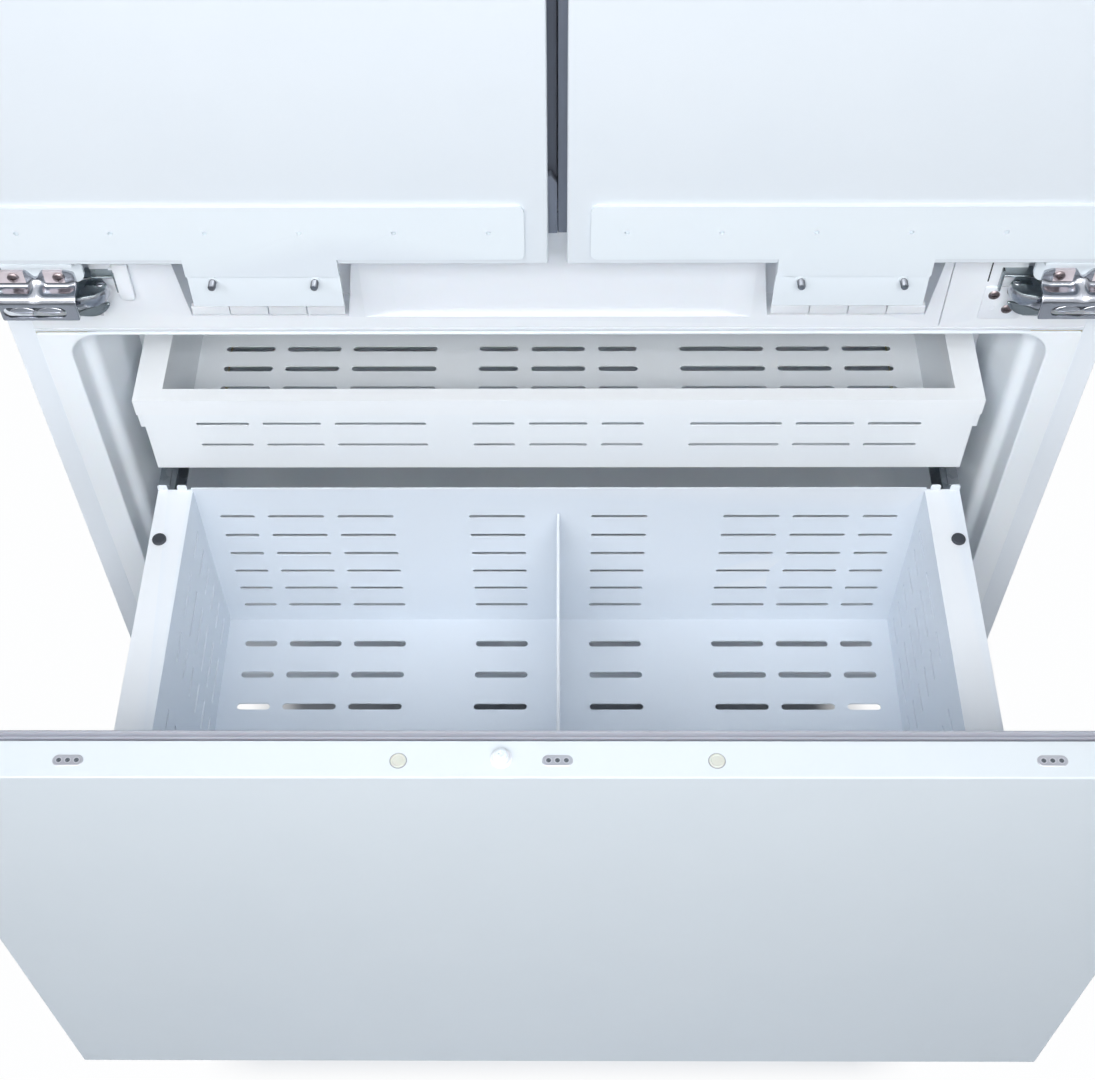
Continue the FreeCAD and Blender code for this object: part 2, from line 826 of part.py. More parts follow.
def base_frame():
    """Side rails, cross beams and the tray that carries the compressor and the coils."""
    low_y, high_y = base_front_y + wall, cabinet_depth - sheet
    outer_x = half - sheet
    rail = box((-outer_x, -outer_x + rail_thickness), (low_y, high_y), (tray_plate_z, base_top))
    beam = box((-outer_x, outer_x), (low_y, low_y + rail_thickness), (tray_plate_z, base_top))
    middle = box((-outer_x, outer_x), (machine_front_y - rail_thickness, machine_front_y),
                 (tray_plate_z, base_top))
    plate = box((-outer_x, outer_x), (low_y, high_y), (tray_plate_z - wall, tray_plate_z))
    motor_start = condenser_fan_x - fan_hub_length / 2 - seat_gap - motor_length
    post = box((motor_start - fan_plate, motor_start),
               (machine_middle_y - motor_radius, machine_middle_y + motor_radius),
               (tray_plate_z, fan_middle_z() + motor_radius))
    motor = rod(motor_radius, (motor_start, machine_middle_y, fan_middle_z()),
                (motor_start + motor_length, machine_middle_y, fan_middle_z()))
    shaft = rod(shaft_radius, (motor_start, machine_middle_y, fan_middle_z()),
                (condenser_fan_x + fan_hub_length / 2, machine_middle_y, fan_middle_z()))
    return fuse(both_sides(rail) + [beam, middle, plate, post, motor, shaft])


def fan_middle_z():
    """Height of the condenser fan's shaft."""
    return tray_plate_z + fan_radius + fan_clear + wall


def foot(x, y):
    """A levelling foot with its threaded stem."""
    disc = rod(foot_radius, (x, y, 0), (x, y, foot_height))
    stem = rod(stem_radius, (x, y, foot_height), (x, y, tray_plate_z - wall))
    return disc.fuse(stem).removeSplitter()


def levelling_feet():
    """Four feet under the corners."""
    feet = [foot(x, y) for x in (-foot_x, foot_x) for y in foot_ys]
    return feet


def compressor():
    """Sealed compressor: a domed can on a foot plate, with its three pipe stubs."""
    base = tray_plate_z + compressor_foot
    top = base + compressor_height
    x, y, r = compressor_x, machine_middle_y, compressor_radius
    can = rod(r, (x, y, base + wall), (x, y, top))
    rim = [edge for edge in can.Edges if edge.BoundBox.ZMin > top - wall]
    can = can.makeFillet(r * compressor_dome_share, rim)
    plate = box((x - r, x + r), (y - r, y + r), (tray_plate_z, base + wall))
    plate = plate.makeFillet(r * compressor_corner_share, upright_edges(plate, ALONG_Z))
    middle = base + compressor_height / 2
    stubs = []
    for share in stub_shares:
        stub_x = x + r * share
        stubs.append(rod(tube_radius, (stub_x, y, middle), (stub_x, y + r + tube_radius, middle)))
    return fuse([can, plate] + stubs)


def finned_coil(x, y, z, fins):
    """Thin upright fins on rows of tubes that run along X."""
    shapes = []
    span = x[1] - x[0] - fin_thickness
    for index in range(fins):
        start = x[0] + span * index / (fins - 1)
        shapes.append(box((start, start + fin_thickness), y, z))
    for column in range(tube_columns):
        for row in range(tube_rows):
            tube_y = y[0] + (y[1] - y[0]) * (column + 0.5) / tube_columns
            tube_z = z[0] + (z[1] - z[0]) * (row + 0.5) / tube_rows
            shapes.append(rod(tube_radius, (x[0], tube_y, tube_z), (x[1], tube_y, tube_z)))
    return fuse(shapes)


def condenser():
    """Finned coil beside the compressor."""
    y = (machine_middle_y - condenser_depth / 2, machine_middle_y + condenser_depth / 2)
    return finned_coil(condenser_x, y, (tray_plate_z, tray_plate_z + condenser_height), fin_count)


def evaporator():
    """Finned coil on the machine hump, behind the freezer's rear cover."""
    y = (freezer_depth - evaporator_depth - wall, freezer_depth - wall)
    z = (hump_top, hump_top + evaporator_height)
    return finned_coil((-evaporator_half, evaporator_half), y, z, evaporator_fin_count)


def fan(radius):
    """A fan rotor on its own axis along Y: a bored hub and tilted blades."""
    length = fan_hub_length
    hub = rod(fan_hub_radius, (0, -length / 2, 0), (0, length / 2, 0))
    blades = []
    for index in range(fan_blades):
        chord = fan_hub_radius * blade_chord_share
        blade = box((0, radius), (-blade_thickness / 2, blade_thickness / 2), (-chord, chord))
        blade.rotate(FreeCAD.Vector(), ALONG_X, blade_tilt)
        blade.rotate(FreeCAD.Vector(), ALONG_Y, 360 * index / fan_blades)
        blades.append(blade)
    rotor = fuse([hub] + blades)
    bore = rod(shaft_radius + running_gap, (0, -length, 0), (0, length, 0))
    rim = rod(radius, (0, -length / 2, 0), (0, length / 2, 0))
    return rotor.common(rim).cut(bore)


def condenser_fan():
    """Fan that blows along X from the coil over the compressor."""
    rotor = fan(fan_radius)
    rotor.rotate(FreeCAD.Vector(), ALONG_Z, 90)
    rotor.translate(FreeCAD.Vector(condenser_fan_x, machine_middle_y, fan_middle_z()))
    return rotor


def evaporator_fan():
    """Fan that blows through the upper rear cover into the freezer."""
    rotor = fan(fan_radius)
    rotor.translate(FreeCAD.Vector(0, evaporator_fan_y(), cover_fan_z()))
    return rotor


def evaporator_fan_y():
    """Middle of the evaporator fan's hub along Y."""
    return upper_cover_y + wall + fan_clear + fan_hub_length / 2


def cover_fan_z():
    """Height of the evaporator fan's shaft."""
    return (cover_shelf + crossbar_bottom) / 2


def evaporator_cover():
    """Rear cover of the freezer: a low box over the coil with its grille, and an upper wall."""
    low = hump_top + seat_gap
    high = cover_shelf
    back = freezer_depth - seat_gap
    low_box = box((-cover_half, cover_half), (evaporator_cover_y, back), (low, high))
    low_room = box((-cover_half + wall, cover_half - wall), (evaporator_cover_y + wall, back),
                   (low, high - wall))
    grille_low = low + grille_low_gap
    grille_hole = box((-grille_half, grille_half), (evaporator_cover_y - through, evaporator_cover_y + wall),
                      (grille_low, grille_low + grille_rise))
    side = freezer_opening_half - step_insets[-1] - seat_gap
    top = crossbar_bottom - step_insets[-1] - seat_gap
    upper = box((-side, side), (upper_cover_y, upper_cover_y + wall), (high - wall, top))
    corner = freezer_corner
    upper = upper.makeFillet(corner, [edge for edge in upright_edges(upper, ALONG_Y)
                                      if edge.BoundBox.ZMin > high])
    upper_room = box((-cover_half + wall, cover_half - wall), (upper_cover_y + wall, back),
                     (high - wall, high))
    shape = fuse([low_box, upper]).cut([low_room, grille_hole, upper_room])
    bars = []
    count = int(2 * grille_half / grille_pitch)
    for index in range(count):
        x = -grille_half + (index + 0.5) * 2 * grille_half / count
        bar_x = (x - grille_bar / 2, x + grille_bar / 2)
        bars.append(box(bar_x, (evaporator_cover_y, evaporator_cover_y + wall),
                        (grille_low, grille_low + grille_rise)))
    motor_start = evaporator_fan_y() + fan_hub_length / 2 + seat_gap
    motor = rod(motor_radius, (0, motor_start, cover_fan_z()), (0, back, cover_fan_z()))
    shaft = rod(shaft_radius, (0, evaporator_fan_y() - fan_hub_length / 2, cover_fan_z()),
                (0, back, cover_fan_z()))
    strut = box((-wall, wall), (back - wall * 2, back), (high - wall, cover_fan_z()))
    slots = []
    for index in range(fan_grille_slots):
        offset = (index - (fan_grille_slots - 1) / 2) * (2 * fan_radius / fan_grille_slots)
        reach = math.sqrt(fan_radius ** 2 - offset ** 2)
        slot = box((-reach, reach), (upper_cover_y - through, upper_cover_y + wall + through),
                   (cover_fan_z() + offset - slot_height, cover_fan_z() + offset + slot_height))
        slots.append(slot)
    arm = box((-wall, wall), (evaporator_cover_y + wall, back), (high - wall, high))
    return fuse([shape.cut(slots)] + bars + [arm, strut, motor, shaft])


def air_duct_cover():
    """Cold-air duct up the fridge's rear wall, with its outlet slots."""
    low = shelf_levels()[0] + shelf_thickness + seat_gap
    high = low + (fridge_ceiling - low) * duct_share
    y = (fridge_depth - duct_depth, fridge_depth - seat_gap)
    shell = box((-duct_half, duct_half), y, (low, high))
    shell = shell.makeFillet(duct_depth / 3, [edge for edge in upright_edges(shell, ALONG_Z)
                                              if edge.BoundBox.YMin < y[0] + through])
    room = box((-duct_half + wall, duct_half - wall), (y[0] + wall, y[1]), (low + wall, high - wall))
    slots = []
    for share in duct_outlet_shares:
        for side in (-1, 1):
            middle = FreeCAD.Vector(side * duct_half / 2, y[0] - through, low + (high - low) * share)
            wire = slot_outline(middle, ALONG_X, ALONG_Z, duct_half * duct_slot_share, slot_height * 2)
            slots.append(Part.Face(wire).extrude(ALONG_Y * (wall + 2 * through)))
    return shell.cut([room] + slots)


def fridge_shelves():
    """Glass shelves on the liner's ribs; the lowest covers the crispers."""
    reach = fridge_opening_half - fridge_step_insets[-1] - shelf_side_gap
    shelves = []
    for level in shelf_levels():
        low = level
        shelf = box((-reach, reach), (shelf_front_y, fridge_depth - shelf_rear_gap),
                    (low, low + shelf_thickness))
        shelves.append(shelf.makeFillet(shelf_thickness * 2, upright_edges(shelf, ALONG_Z)))
    return shelves


def low_outer_edges(shape, x, z):
    """The edges along Y at a block's lower left, below two limits."""
    return [edge for edge in upright_edges(shape, ALONG_Y)
            if edge.BoundBox.XMax < x and edge.BoundBox.ZMax < z]


def crispers():
    """Two open drawers for vegetables on the fridge's floor."""
    floor_z = crossbar_top + fridge_step_insets[-1] + seat_gap
    inner = fridge_opening_half - fridge_step_insets[-1]
    x = (-inner + crisper_gap, -crisper_gap / 2)
    y = (shelf_front_y, shelf_front_y + crisper_depth)
    z = (floor_z, floor_z + crisper_height)
    block = box(x, y, z)
    block = block.makeFillet(fridge_corner, low_outer_edges(block, x[0] + through, z[0] + through))
    room = box((x[0] + crisper_wall, x[1] - crisper_wall), (y[0] + crisper_wall, y[1] - crisper_wall),
               (z[0] + crisper_wall, z[1] + through))
    reach = crisper_wall + through
    room = room.makeFillet(fridge_corner - crisper_wall, low_outer_edges(room, x[0] + reach, z[0] + reach))
    inset = (x[1] - x[0]) * grip_share
    grip = box((x[0] + inset, x[1] - inset), (y[0] - crisper_gap, y[0]),
               (z[1] - crisper_gap * 3, z[1] - crisper_gap))
    return both_sides(fuse([block, grip]).cut(room))


def control_panel():
    """Lamp and control housing under the fridge's ceiling."""
    high = fridge_ceiling - fridge_step_insets[-1]
    block = box((-panel_half, panel_half), (panel_front_y, panel_front_y + panel_depth),
                (high - panel_height, high))
    edges = [edge for edge in upright_edges(block, ALONG_X) if edge.BoundBox.ZMin < high - through]
    return block.makeFillet(panel_height / 3, edges)


def inlet_place():
    """Middle of the mains inlet, across and up."""
    return inlet_x + inlet_width / 2, tray_plate_z + inlet_height * 1.5


def power_inlet():
    """Mains inlet behind the rear panel: a box with its open socket and three pins."""
    x, z = inlet_place()
    back = cabinet_depth - sheet - seat_gap
    block = box((x - inlet_width / 2, x + inlet_width / 2), (back - inlet_depth, back),
                (z - inlet_height / 2, z + inlet_height / 2))
    socket = box((x - socket_width / 2, x + socket_width / 2), (back - socket_depth, back),
                 (z - socket_height / 2, z + socket_height / 2))
    pins = []
    for share in socket_pin_shares:
        pin_x = x + socket_width * share
        pins.append(box((pin_x - wall / 2, pin_x + wall / 2), (back - socket_depth, back - wall),
                        (z - wall, z + wall)))
    return fuse([block.cut(socket)] + pins)


# Slide rails

def channel(x, y, z):
    """A rail of C section, open towards the basket at the right."""
    outer = box(x, y, z)
    room = box((x[0] + rail_wall, x[1] + through), (y[0] - through, y[1] + through),
               (z[0] + rail_wall, z[1] - rail_wall))
    return outer.cut(room)


def rail_z(level):
    """Low and high edge of a rail; each level nests inside the one before."""
    step = (rail_wall + seat_gap) * level
    top = basket_rim - rail_drop
    return (top - rail_height + step, top - step)


def slide_outer():
    """Cabinet rails, each with two blocks that reach the liner's wall."""
    x = (-rail_outer_x, -rail_outer_x + rail_channel)
    y = (rail_front_y, rail_front_y + rail_length)
    rail = channel(x, y, rail_z(0))
    side = freezer_opening_half - step_insets[-1] - seat_gap
    middle_z = sum(rail_z(0)) / 2
    block_z = (middle_z - rail_block_height / 2, middle_z + rail_block_height / 2)
    blocks = []
    for low_y in (step_depths[-2] + seat_gap, y[1] - rail_block_length):
        blocks.append(box((-side, -rail_outer_x), (low_y, low_y + rail_block_length), block_z))
    return both_sides(fuse([rail] + blocks))


def slide_middle():
    """Middle rails, half as far out as the basket."""
    low_x = -rail_outer_x + rail_wall + seat_gap
    x = (low_x, low_x + rail_channel + rail_wall * 2)
    low_y = rail_front_y - drawer_travel * rail_ratio
    y = (low_y, low_y + rail_middle_length)
    return both_sides(channel(x, y, rail_z(1)))


def slide_inner():
    """Drawer rails of C section, fixed along the basket's walls and open towards the middle rails."""
    x = (-rail_outer_x + 2 * (rail_wall + seat_gap), -basket_half_width - sheet)
    y = (basket_front_y + seat_gap, basket_rear_y - wall)
    z = rail_z(2)
    room = box((x[0] - through, x[1] - rail_wall), (y[0] - through, y[1] + through),
               (z[0] + rail_wall, z[1] - rail_wall))
    return both_sides(box(x, y, z).cut(room))


def tray_runners():
    """Rails under the tray's lips, each with two blocks that reach the liner's wall."""
    side = freezer_opening_half - step_insets[-1] - seat_gap
    top = tray_top - tray_lip_height - seat_gap
    low = top - tray_lip_height
    x = (-tray_half_width, -tray_fascia_half - seat_gap)
    y = (tray_front_y + 2 * sheet + seat_gap, upper_cover_y - wall)
    leg = box(x, y, (top - wall, top))
    web = box((x[0], x[0] + wall), y, (low, top))
    flange = box(x, (y[0], y[0] + wall), (low, top))
    blocks = []
    for low_y in (runner_block_y, y[1] - rail_block_length):
        blocks.append(box((-side, x[0]), (low_y, low_y + rail_block_length), (low, top)))
    return both_sides(fuse([leg, web, flange] + blocks))


# Freezer basket and tray

def basket_columns(shares, reach):
    """Middles and lengths of the slots in one row, mirrored about the middle."""
    columns = []
    for start, end in shares:
        for side in (-1, 1):
            columns.append((side * reach * (start + end) / 2, reach * (end - start)))
    return columns


def front_wall(x, y, z, columns, rows, height):
    """An upright plate across the front with rows of slots."""
    outer = outline([
        FreeCAD.Vector(x[0], y[0], z[0]),
        FreeCAD.Vector(x[1], y[0], z[0]),
        FreeCAD.Vector(x[1], y[0], z[1]),
        FreeCAD.Vector(x[0], y[0], z[1]),
    ])
    holes = []
    for row in rows:
        for middle, length in columns:
            place = FreeCAD.Vector(middle, y[0], row)
            holes.append(slot_outline(place, ALONG_X, ALONG_Z, length, height))
    return holed_plate(outer, holes, ALONG_Y * (y[1] - y[0]))


def floor_plate(x, y, z, columns, rows, height):
    """A level plate with rows of slots."""
    outer = outline([
        FreeCAD.Vector(x[0], y[0], z[0]),
        FreeCAD.Vector(x[1], y[0], z[0]),
        FreeCAD.Vector(x[1], y[1], z[0]),
        FreeCAD.Vector(x[0], y[1], z[0]),
    ])
    holes = []
    for row in rows:
        for middle, length in columns:
            place = FreeCAD.Vector(middle, row, z[0])
            holes.append(slot_outline(place, ALONG_X, ALONG_Y, length, height))
    return holed_plate(outer, holes, ALONG_Z * (z[1] - z[0]))


def side_wall(x, y, z, spans, rows, height):
    """An upright plate along the side with rows of slots."""
    outer = outline([
        FreeCAD.Vector(x[0], y[0], z[0]),
        FreeCAD.Vector(x[0], y[1], z[0]),
        FreeCAD.Vector(x[0], y[1], z[1]),
        FreeCAD.Vector(x[0], y[0], z[1]),
    ])
    holes = []
    for row in rows:
        for middle, length in spans:
            place = FreeCAD.Vector(x[0], middle, row)
            holes.append(slot_outline(place, ALONG_Y, ALONG_Z, length, height))
    return holed_plate(outer, holes, ALONG_X * (x[1] - x[0]))


def freezer_basket():
    """Folded sheet basket: slotted walls and floor, side rims and the tabs at their rear ends."""
    inner, outer = basket_half_width, basket_half_width + sheet
    y = (basket_front_y, basket_rear_y)
    z = (basket_floor - sheet, basket_rim)
    columns = basket_columns(column_shares, inner)
    rows = [basket_rim - first_row - index * row_pitch for index in range(row_count)]
    back = front_wall((-outer, outer), (y[1] - sheet, y[1]), (z[0], z[1] + back_wall_rise), columns, rows,
                      slot_height)
    front = box((-outer, outer), (y[0], y[0] + sheet), z)
    floor_ys = [y[1] - floor_first_row - index * floor_pitch for index in range(floor_rows)]
    floor = floor_plate((-outer, outer), y, (z[0], z[0] + sheet), columns, floor_ys, floor_slot_width)
    spans = []
    for start, end in side_slot_shares:
        middle, length = basket_length * (start + end) / 2, basket_length * (end - start)
        spans += [(y[1] - middle, length), (y[0] + middle, length)]
    side = side_wall((-outer, -inner), y, z, spans, rows, slot_height)
    rim_x = (-inner - flange_width, -inner)
    rim = box(rim_x, y, (z[1] - sheet, z[1]))
    skirt = box((rim_x[0], rim_x[0] + sheet), y, (z[1] - basket_skirt, z[1]))
    tabs = []
    for start in (rim_x[0], rim_x[0] + basket_tab_width + basket_tab_gap):
        tab = box((start, start + basket_tab_width), (y[1] - sheet, y[1]), (z[1], z[1] + basket_tab_height))
        tabs.append(tab.makeFillet(basket_tab_width / 4, [edge for edge in upright_edges(tab, ALONG_Y)
                                                         if edge.BoundBox.ZMin > z[1] + sheet]))
    half_shape = [side, rim, skirt] + tabs
    return fuse([back, front, floor] + half_shape + [mirrored(shape) for shape in half_shape])


def basket_divider():
    """Upright plate that parts the basket along its middle."""
    y = (basket_front_y + sheet + seat_gap, basket_rear_y - sheet - seat_gap)
    t = divider_thickness / 2
    high = basket_rim - divider_drop
    plate = box((-t, t), y, (basket_floor, high))
    top = [edge for edge in upright_edges(plate, ALONG_Y) if edge.BoundBox.ZMin > high - wall]
    return plate.makeFillet(t - seat_gap, top)


def basket_bumpers():
    """Rubber buttons on the rims near their rear ends."""
    x = -basket_half_width - flange_width + bumper_radius + bumper_height
    y = basket_rear_y - bumper_inset
    button = rod(bumper_radius, (x, y, basket_rim), (x, y, basket_rim + bumper_height))
    top = [edge for edge in button.Edges if edge.BoundBox.ZMin > basket_rim + wall]
    return both_sides(button.makeFillet(bumper_height / 3, top))


def freezer_tray():
    """Folded sheet tray: slotted fascia and floor, wide side rims with turned-down lips."""
    rim_inner = tray_half_width - tray_lip_width
    outer = rim_inner + sheet
    y = (tray_front_y, tray_front_y + tray_depth)
    z = (tray_bottom, tray_top)
    reach = tray_half_width
    columns = basket_columns(tray_column_shares, reach) + [(0, 2 * tray_centre_share * reach)]
    rows = [tray_top - tray_slot_row, tray_top - tray_slot_row - tray_slot_pitch]
    fascia = front_wall((-tray_fascia_half, tray_fascia_half), (y[0] + sheet, y[0] + 2 * sheet), z, columns,
                        rows, tray_slot_height)
    lip = box((-reach, reach), (y[0], y[0] + sheet), (z[1] - tray_lip_height, z[1]))
    lip_top = box((-reach, reach), (y[0], y[0] + tray_front_lip), (z[1] - sheet, z[1]))
    back = front_wall((-outer, outer), (y[1] - sheet, y[1]), z, columns, rows, tray_slot_height)
    floor_ys = [y[0] + tray_floor_first + index * tray_floor_pitch + (tray_floor_band if index > 1 else 0)
                for index in range(tray_floor_rows)]
    inside = (y[0] + sheet, y[1])
    floor = floor_plate((-outer, outer), inside, (z[0], z[0] + sheet), columns, floor_ys, floor_slot_width)
    side = box((-outer, -rim_inner), inside, z)
    rim = box((-reach, -rim_inner), y, (z[1] - sheet, z[1]))
    skirt = box((-reach, -reach + sheet), y, (z[1] - tray_lip_height, z[1]))
    half_shape = [side, rim, skirt]
    twin = [mirrored(shape) for shape in half_shape]
    return fuse([fascia, lip, lip_top, back, floor] + half_shape + twin)


# Doors

def door_skin(x, y, z):
    """Folded steel outer skin, open at the back."""
    shell = box(x, y, z)
    room = box((x[0] + sheet, x[1] - sheet), (y[0] + sheet, y[1] + through), (z[0] + sheet, z[1] - sheet))
    return shell.cut(room)


def door_liner(x, y, z, pan_x, bulge):
    """Foam-backed inner panel that fills the skin, and bulges inside the gasket."""
    fill = sheet + seat_gap
    core = box((x[0] + fill, x[1] - fill), (y[0] + sheet, y[1]), (z[0] + fill, z[1] - fill))
    margin = gasket_inset + gasket_width + door_pan_room
    pan = box(pan_x, (y[1], bulge), (z[0] + margin, z[1] - margin))
    rim = [edge for edge in pan.Edges if edge.BoundBox.YMin > bulge - tolerance]
    return fuse([core, pan.makeFillet(door_pan_edge, rim)])


def gasket(x, y, z):
    """Closed ring of soft seal with a groove between its foot and its magnetic lip."""
    third = (y[1] - y[0]) / 3
    rings = []
    for index, shrink in enumerate((0, gasket_width / 6, 0)):
        ring_y = (y[0] + third * index, y[0] + third * (index + 1))
        frames = []
        for inset in (gasket_inset + shrink, gasket_inset + gasket_width):
            frames.append(box((x[0] + inset, x[1] - inset), ring_y, (z[0] + inset, z[1] - inset)))
        rings.append(frames[0].cut(frames[1]))
    return fuse(rings)


def fridge_pan_x():
    """Both edges of the bulge inside the left fridge door."""
    return (-half + pan_hinge_margin, -door_gap / 2 - pan_gap_margin)


def fridge_door_box():
    """Left fridge door's outer box."""
    return ((-half, -door_gap / 2), (door_front_y, skin_rear_y), (door_bottom, door_top))


def door_bins():
    """Three open bins on the left fridge door's inner panel."""
    x = (-bin_outer, -bin_half_gap)
    y = (fridge_bulge, fridge_bulge + bin_depth)
    bins = []
    for share in bin_shares:
        low = door_bottom + (door_top - door_bottom) * share
        z = (low, low + bin_height)
        block = box(x, y, z)
        corners = [edge for edge in upright_edges(block, ALONG_Z) if edge.BoundBox.YMin > y[0] + through]
        block = block.makeFillet(bin_corner, corners)
        room = box((x[0] + bin_wall, x[1] - bin_wall), (y[0] + bin_wall, y[1] - bin_wall),
                   (z[0] + bin_wall, z[1] + through))
        inner_y = y[0] + bin_wall + through
        corners = [edge for edge in upright_edges(room, ALONG_Z) if edge.BoundBox.YMin > inner_y]
        room = room.makeFillet(bin_corner - bin_wall, corners)
        bins.append(block.cut(room))
    return bins


def panel_rail():
    """Mounting plate on the left door's front, with its row of holes and its hanging tab."""
    low = door_bottom + rail_plate_low
    high = low + rail_plate_height
    inner = -door_gap / 2 - rail_plate_margin
    outer = -half + rail_outer_margin
    y = door_front_y - rail_plate_thickness
    plate = box((outer, inner), (y, door_front_y), (low, high))
    corners = [edge for edge in upright_edges(plate, ALONG_Y) if edge.BoundBox.XMin > inner - through]
    plate = plate.makeFillet(rail_plate_corner, corners)
    tab = box((-tab_x[1], -tab_x[0]), (y, door_front_y), (door_bottom - tab_drop, low + rail_plate_corner))
    return fuse([plate, tab]).cut(rail_holes())


def rail_holes():
    """The left door's row of holes through the mounting plate and the skin behind it."""
    z = door_bottom + rail_plate_low + rail_hole_rise
    front, rear = door_front_y - rail_plate_thickness - through, door_front_y + sheet
    places = [-rail_hole_first - index * rail_hole_pitch for index in range(rail_hole_count)]
    return [rod(rail_hole_radius, (x, front, z), (x, rear, z)) for x in places]


def stud_bracket():
    """Angle under the left door with two threaded studs that carry a front panel."""
    front = door_front_y + seat_gap
    rear = front + stud_plate_thickness
    x = (-tab_x[1], -tab_x[0])
    low = door_bottom - stud_plate_drop
    plate = box(x, (front, rear), (low, door_bottom))
    leg = box(x, (front, front + stud_leg_depth), (door_bottom - stud_plate_thickness, door_bottom))
    stud_z = door_bottom - stud_drop
    studs = []
    for stud_x in (x[0] + stud_inset, x[1] - stud_inset):
        bar = rod(stud_radius, (stud_x, front - stud_length, stud_z), (stud_x, front, stud_z))
        tip = [edge for edge in bar.Edges if edge.BoundBox.YMax < front - stud_length + tolerance]
        studs.append(bar.makeChamfer(stud_radius / 4, tip))
    return fuse([plate, leg] + studs)


# Hinges: the left lower one, mirrored for the other three

def hinge_arm():
    """Fixed arm on the cabinet's front that carries the door's pivot pin."""
    high = door_bottom - carrier_thickness - arm_gap
    low = high - arm_thickness
    x, y = -pivot_x, pivot_y
    eye = rod(arm_half, (x, y, low), (x, y, high))
    plate = box((x - arm_half, x + arm_half), (y, 0), (low, high))
    leg = box((x - arm_half, x + arm_half), (-arm_thickness, 0), (door_bottom - arm_leg_drop, high))
    pin = rod(pivot_radius, (x, y, low), (x, y, door_bottom - seat_gap))
    return fuse([eye, plate, leg, pin])


def hinge_cup():
    """Forked cup in the crossbar's recess, with the pin that the links turn on."""
    high, low = door_bottom - cup_drops[0], door_bottom - cup_drops[1]
    rear = hinge_pocket_depth - seat_gap
    inner_x = (-cup_x[1], -hinge_pocket_x[0] - through)
    pieces = [box(inner_x, (rear - cup_thickness, rear), (low, high))]
    for start in (low, high - cup_thickness):
        z = (start, start + cup_thickness)
        pieces.append(box(inner_x, (-cup_front_y, rear), z))
        pieces.append(box((-cup_x[1], -cup_x[0]), (-cup_front_y, -seat_gap), z))
    pin = rod(link_pin_radius, (-link_pivot_x, -link_pivot_y, low), (-link_pivot_x, -link_pivot_y, high))
    return fuse(pieces + [pin])


def hinge_tongue():
    """Stop below the links: a rear plate in the recess, a floor and a lip in front."""
    low, high = door_bottom - tongue_drops[1], door_bottom - tongue_drops[0]
    rear = hinge_pocket_depth - seat_gap
    inner_x = (-tongue_x[1], -hinge_pocket_x[0] - through)
    full_x = (-tongue_x[1], -tongue_x[0])
    back = box(inner_x, (rear - cup_thickness, rear), (low, high))
    floor = box(inner_x, (-tongue_front_y, rear), (low, low + cup_thickness))
    lip = box(full_x, (-tongue_front_y, -tongue_front_y + cup_thickness), (low, high))
    corners = [edge for edge in upright_edges(lip, ALONG_Y) if edge.BoundBox.ZMin > high - through]
    return fuse([back, floor, lip.makeFillet(edge_radius, corners)])


def link_plate(drop):
    """One bowed chrome link between the cup's pin and the door's bracket."""
    high = door_bottom - drop
    low = high - link_thickness
    start = FreeCAD.Vector(-link_pivot_x, -link_pivot_y, low)
    end = start - FreeCAD.Vector(link_reach, link_reach_y, 0)
    way = (end - start).normalize()
    side = way.cross(ALONG_Z) * link_half
    middle = (start + end) / 2 + side
    edges = [
        Part.Arc(start + side, middle + side, end + side).toShape(),
        Part.Arc(end + side, end + way * link_half, end - side).toShape(),
        Part.Arc(end - side, middle - side, start - side).toShape(),
        Part.Arc(start - side, start - way * link_half, start + side).toShape(),
    ]
    plate = Part.Face(Part.Wire(edges)).extrude(ALONG_Z * link_thickness)
    rivet_rise = ALONG_Z * (link_thickness / 3)
    rivet = rod(link_half / 2, end - rivet_rise, end + ALONG_Z * link_thickness + rivet_rise)
    bore_rise = ALONG_Z * (link_thickness + through)
    bore = rod(link_pin_radius + running_gap, start - ALONG_Z * through, start + bore_rise)
    return fuse([plate, rivet]).cut(bore)


def hinge_links():
    """The left door's four links."""
    links = []
    for drop in link_drops:
        links += both_ends(link_plate(drop))
    return links


def hinge_carrier():
    """White angle under the door: the pin's bearing above and the chrome bracket's seat below."""
    top = door_bottom
    flat_x = (-half + wall, -carrier_x[0])
    rear = -carrier_y
    flat = box(flat_x, (door_front_y + seat_gap, rear), (top - carrier_thickness, top))
    leg = box((-carrier_x[1], -carrier_x[0]), (rear - carrier_thickness, rear), (top - carrier_drop, top))
    corner = [edge for edge in upright_edges(leg, ALONG_Y)
              if edge.BoundBox.XMin > -carrier_x[0] - through and edge.BoundBox.ZMax < top - through]
    leg = leg.makeFillet(carrier_corner, corner)
    bore = rod(pivot_radius + running_gap, (-pivot_x, pivot_y, top - carrier_thickness - through),
               (-pivot_x, pivot_y, top + through))
    return fuse([flat, leg]).cut(bore)


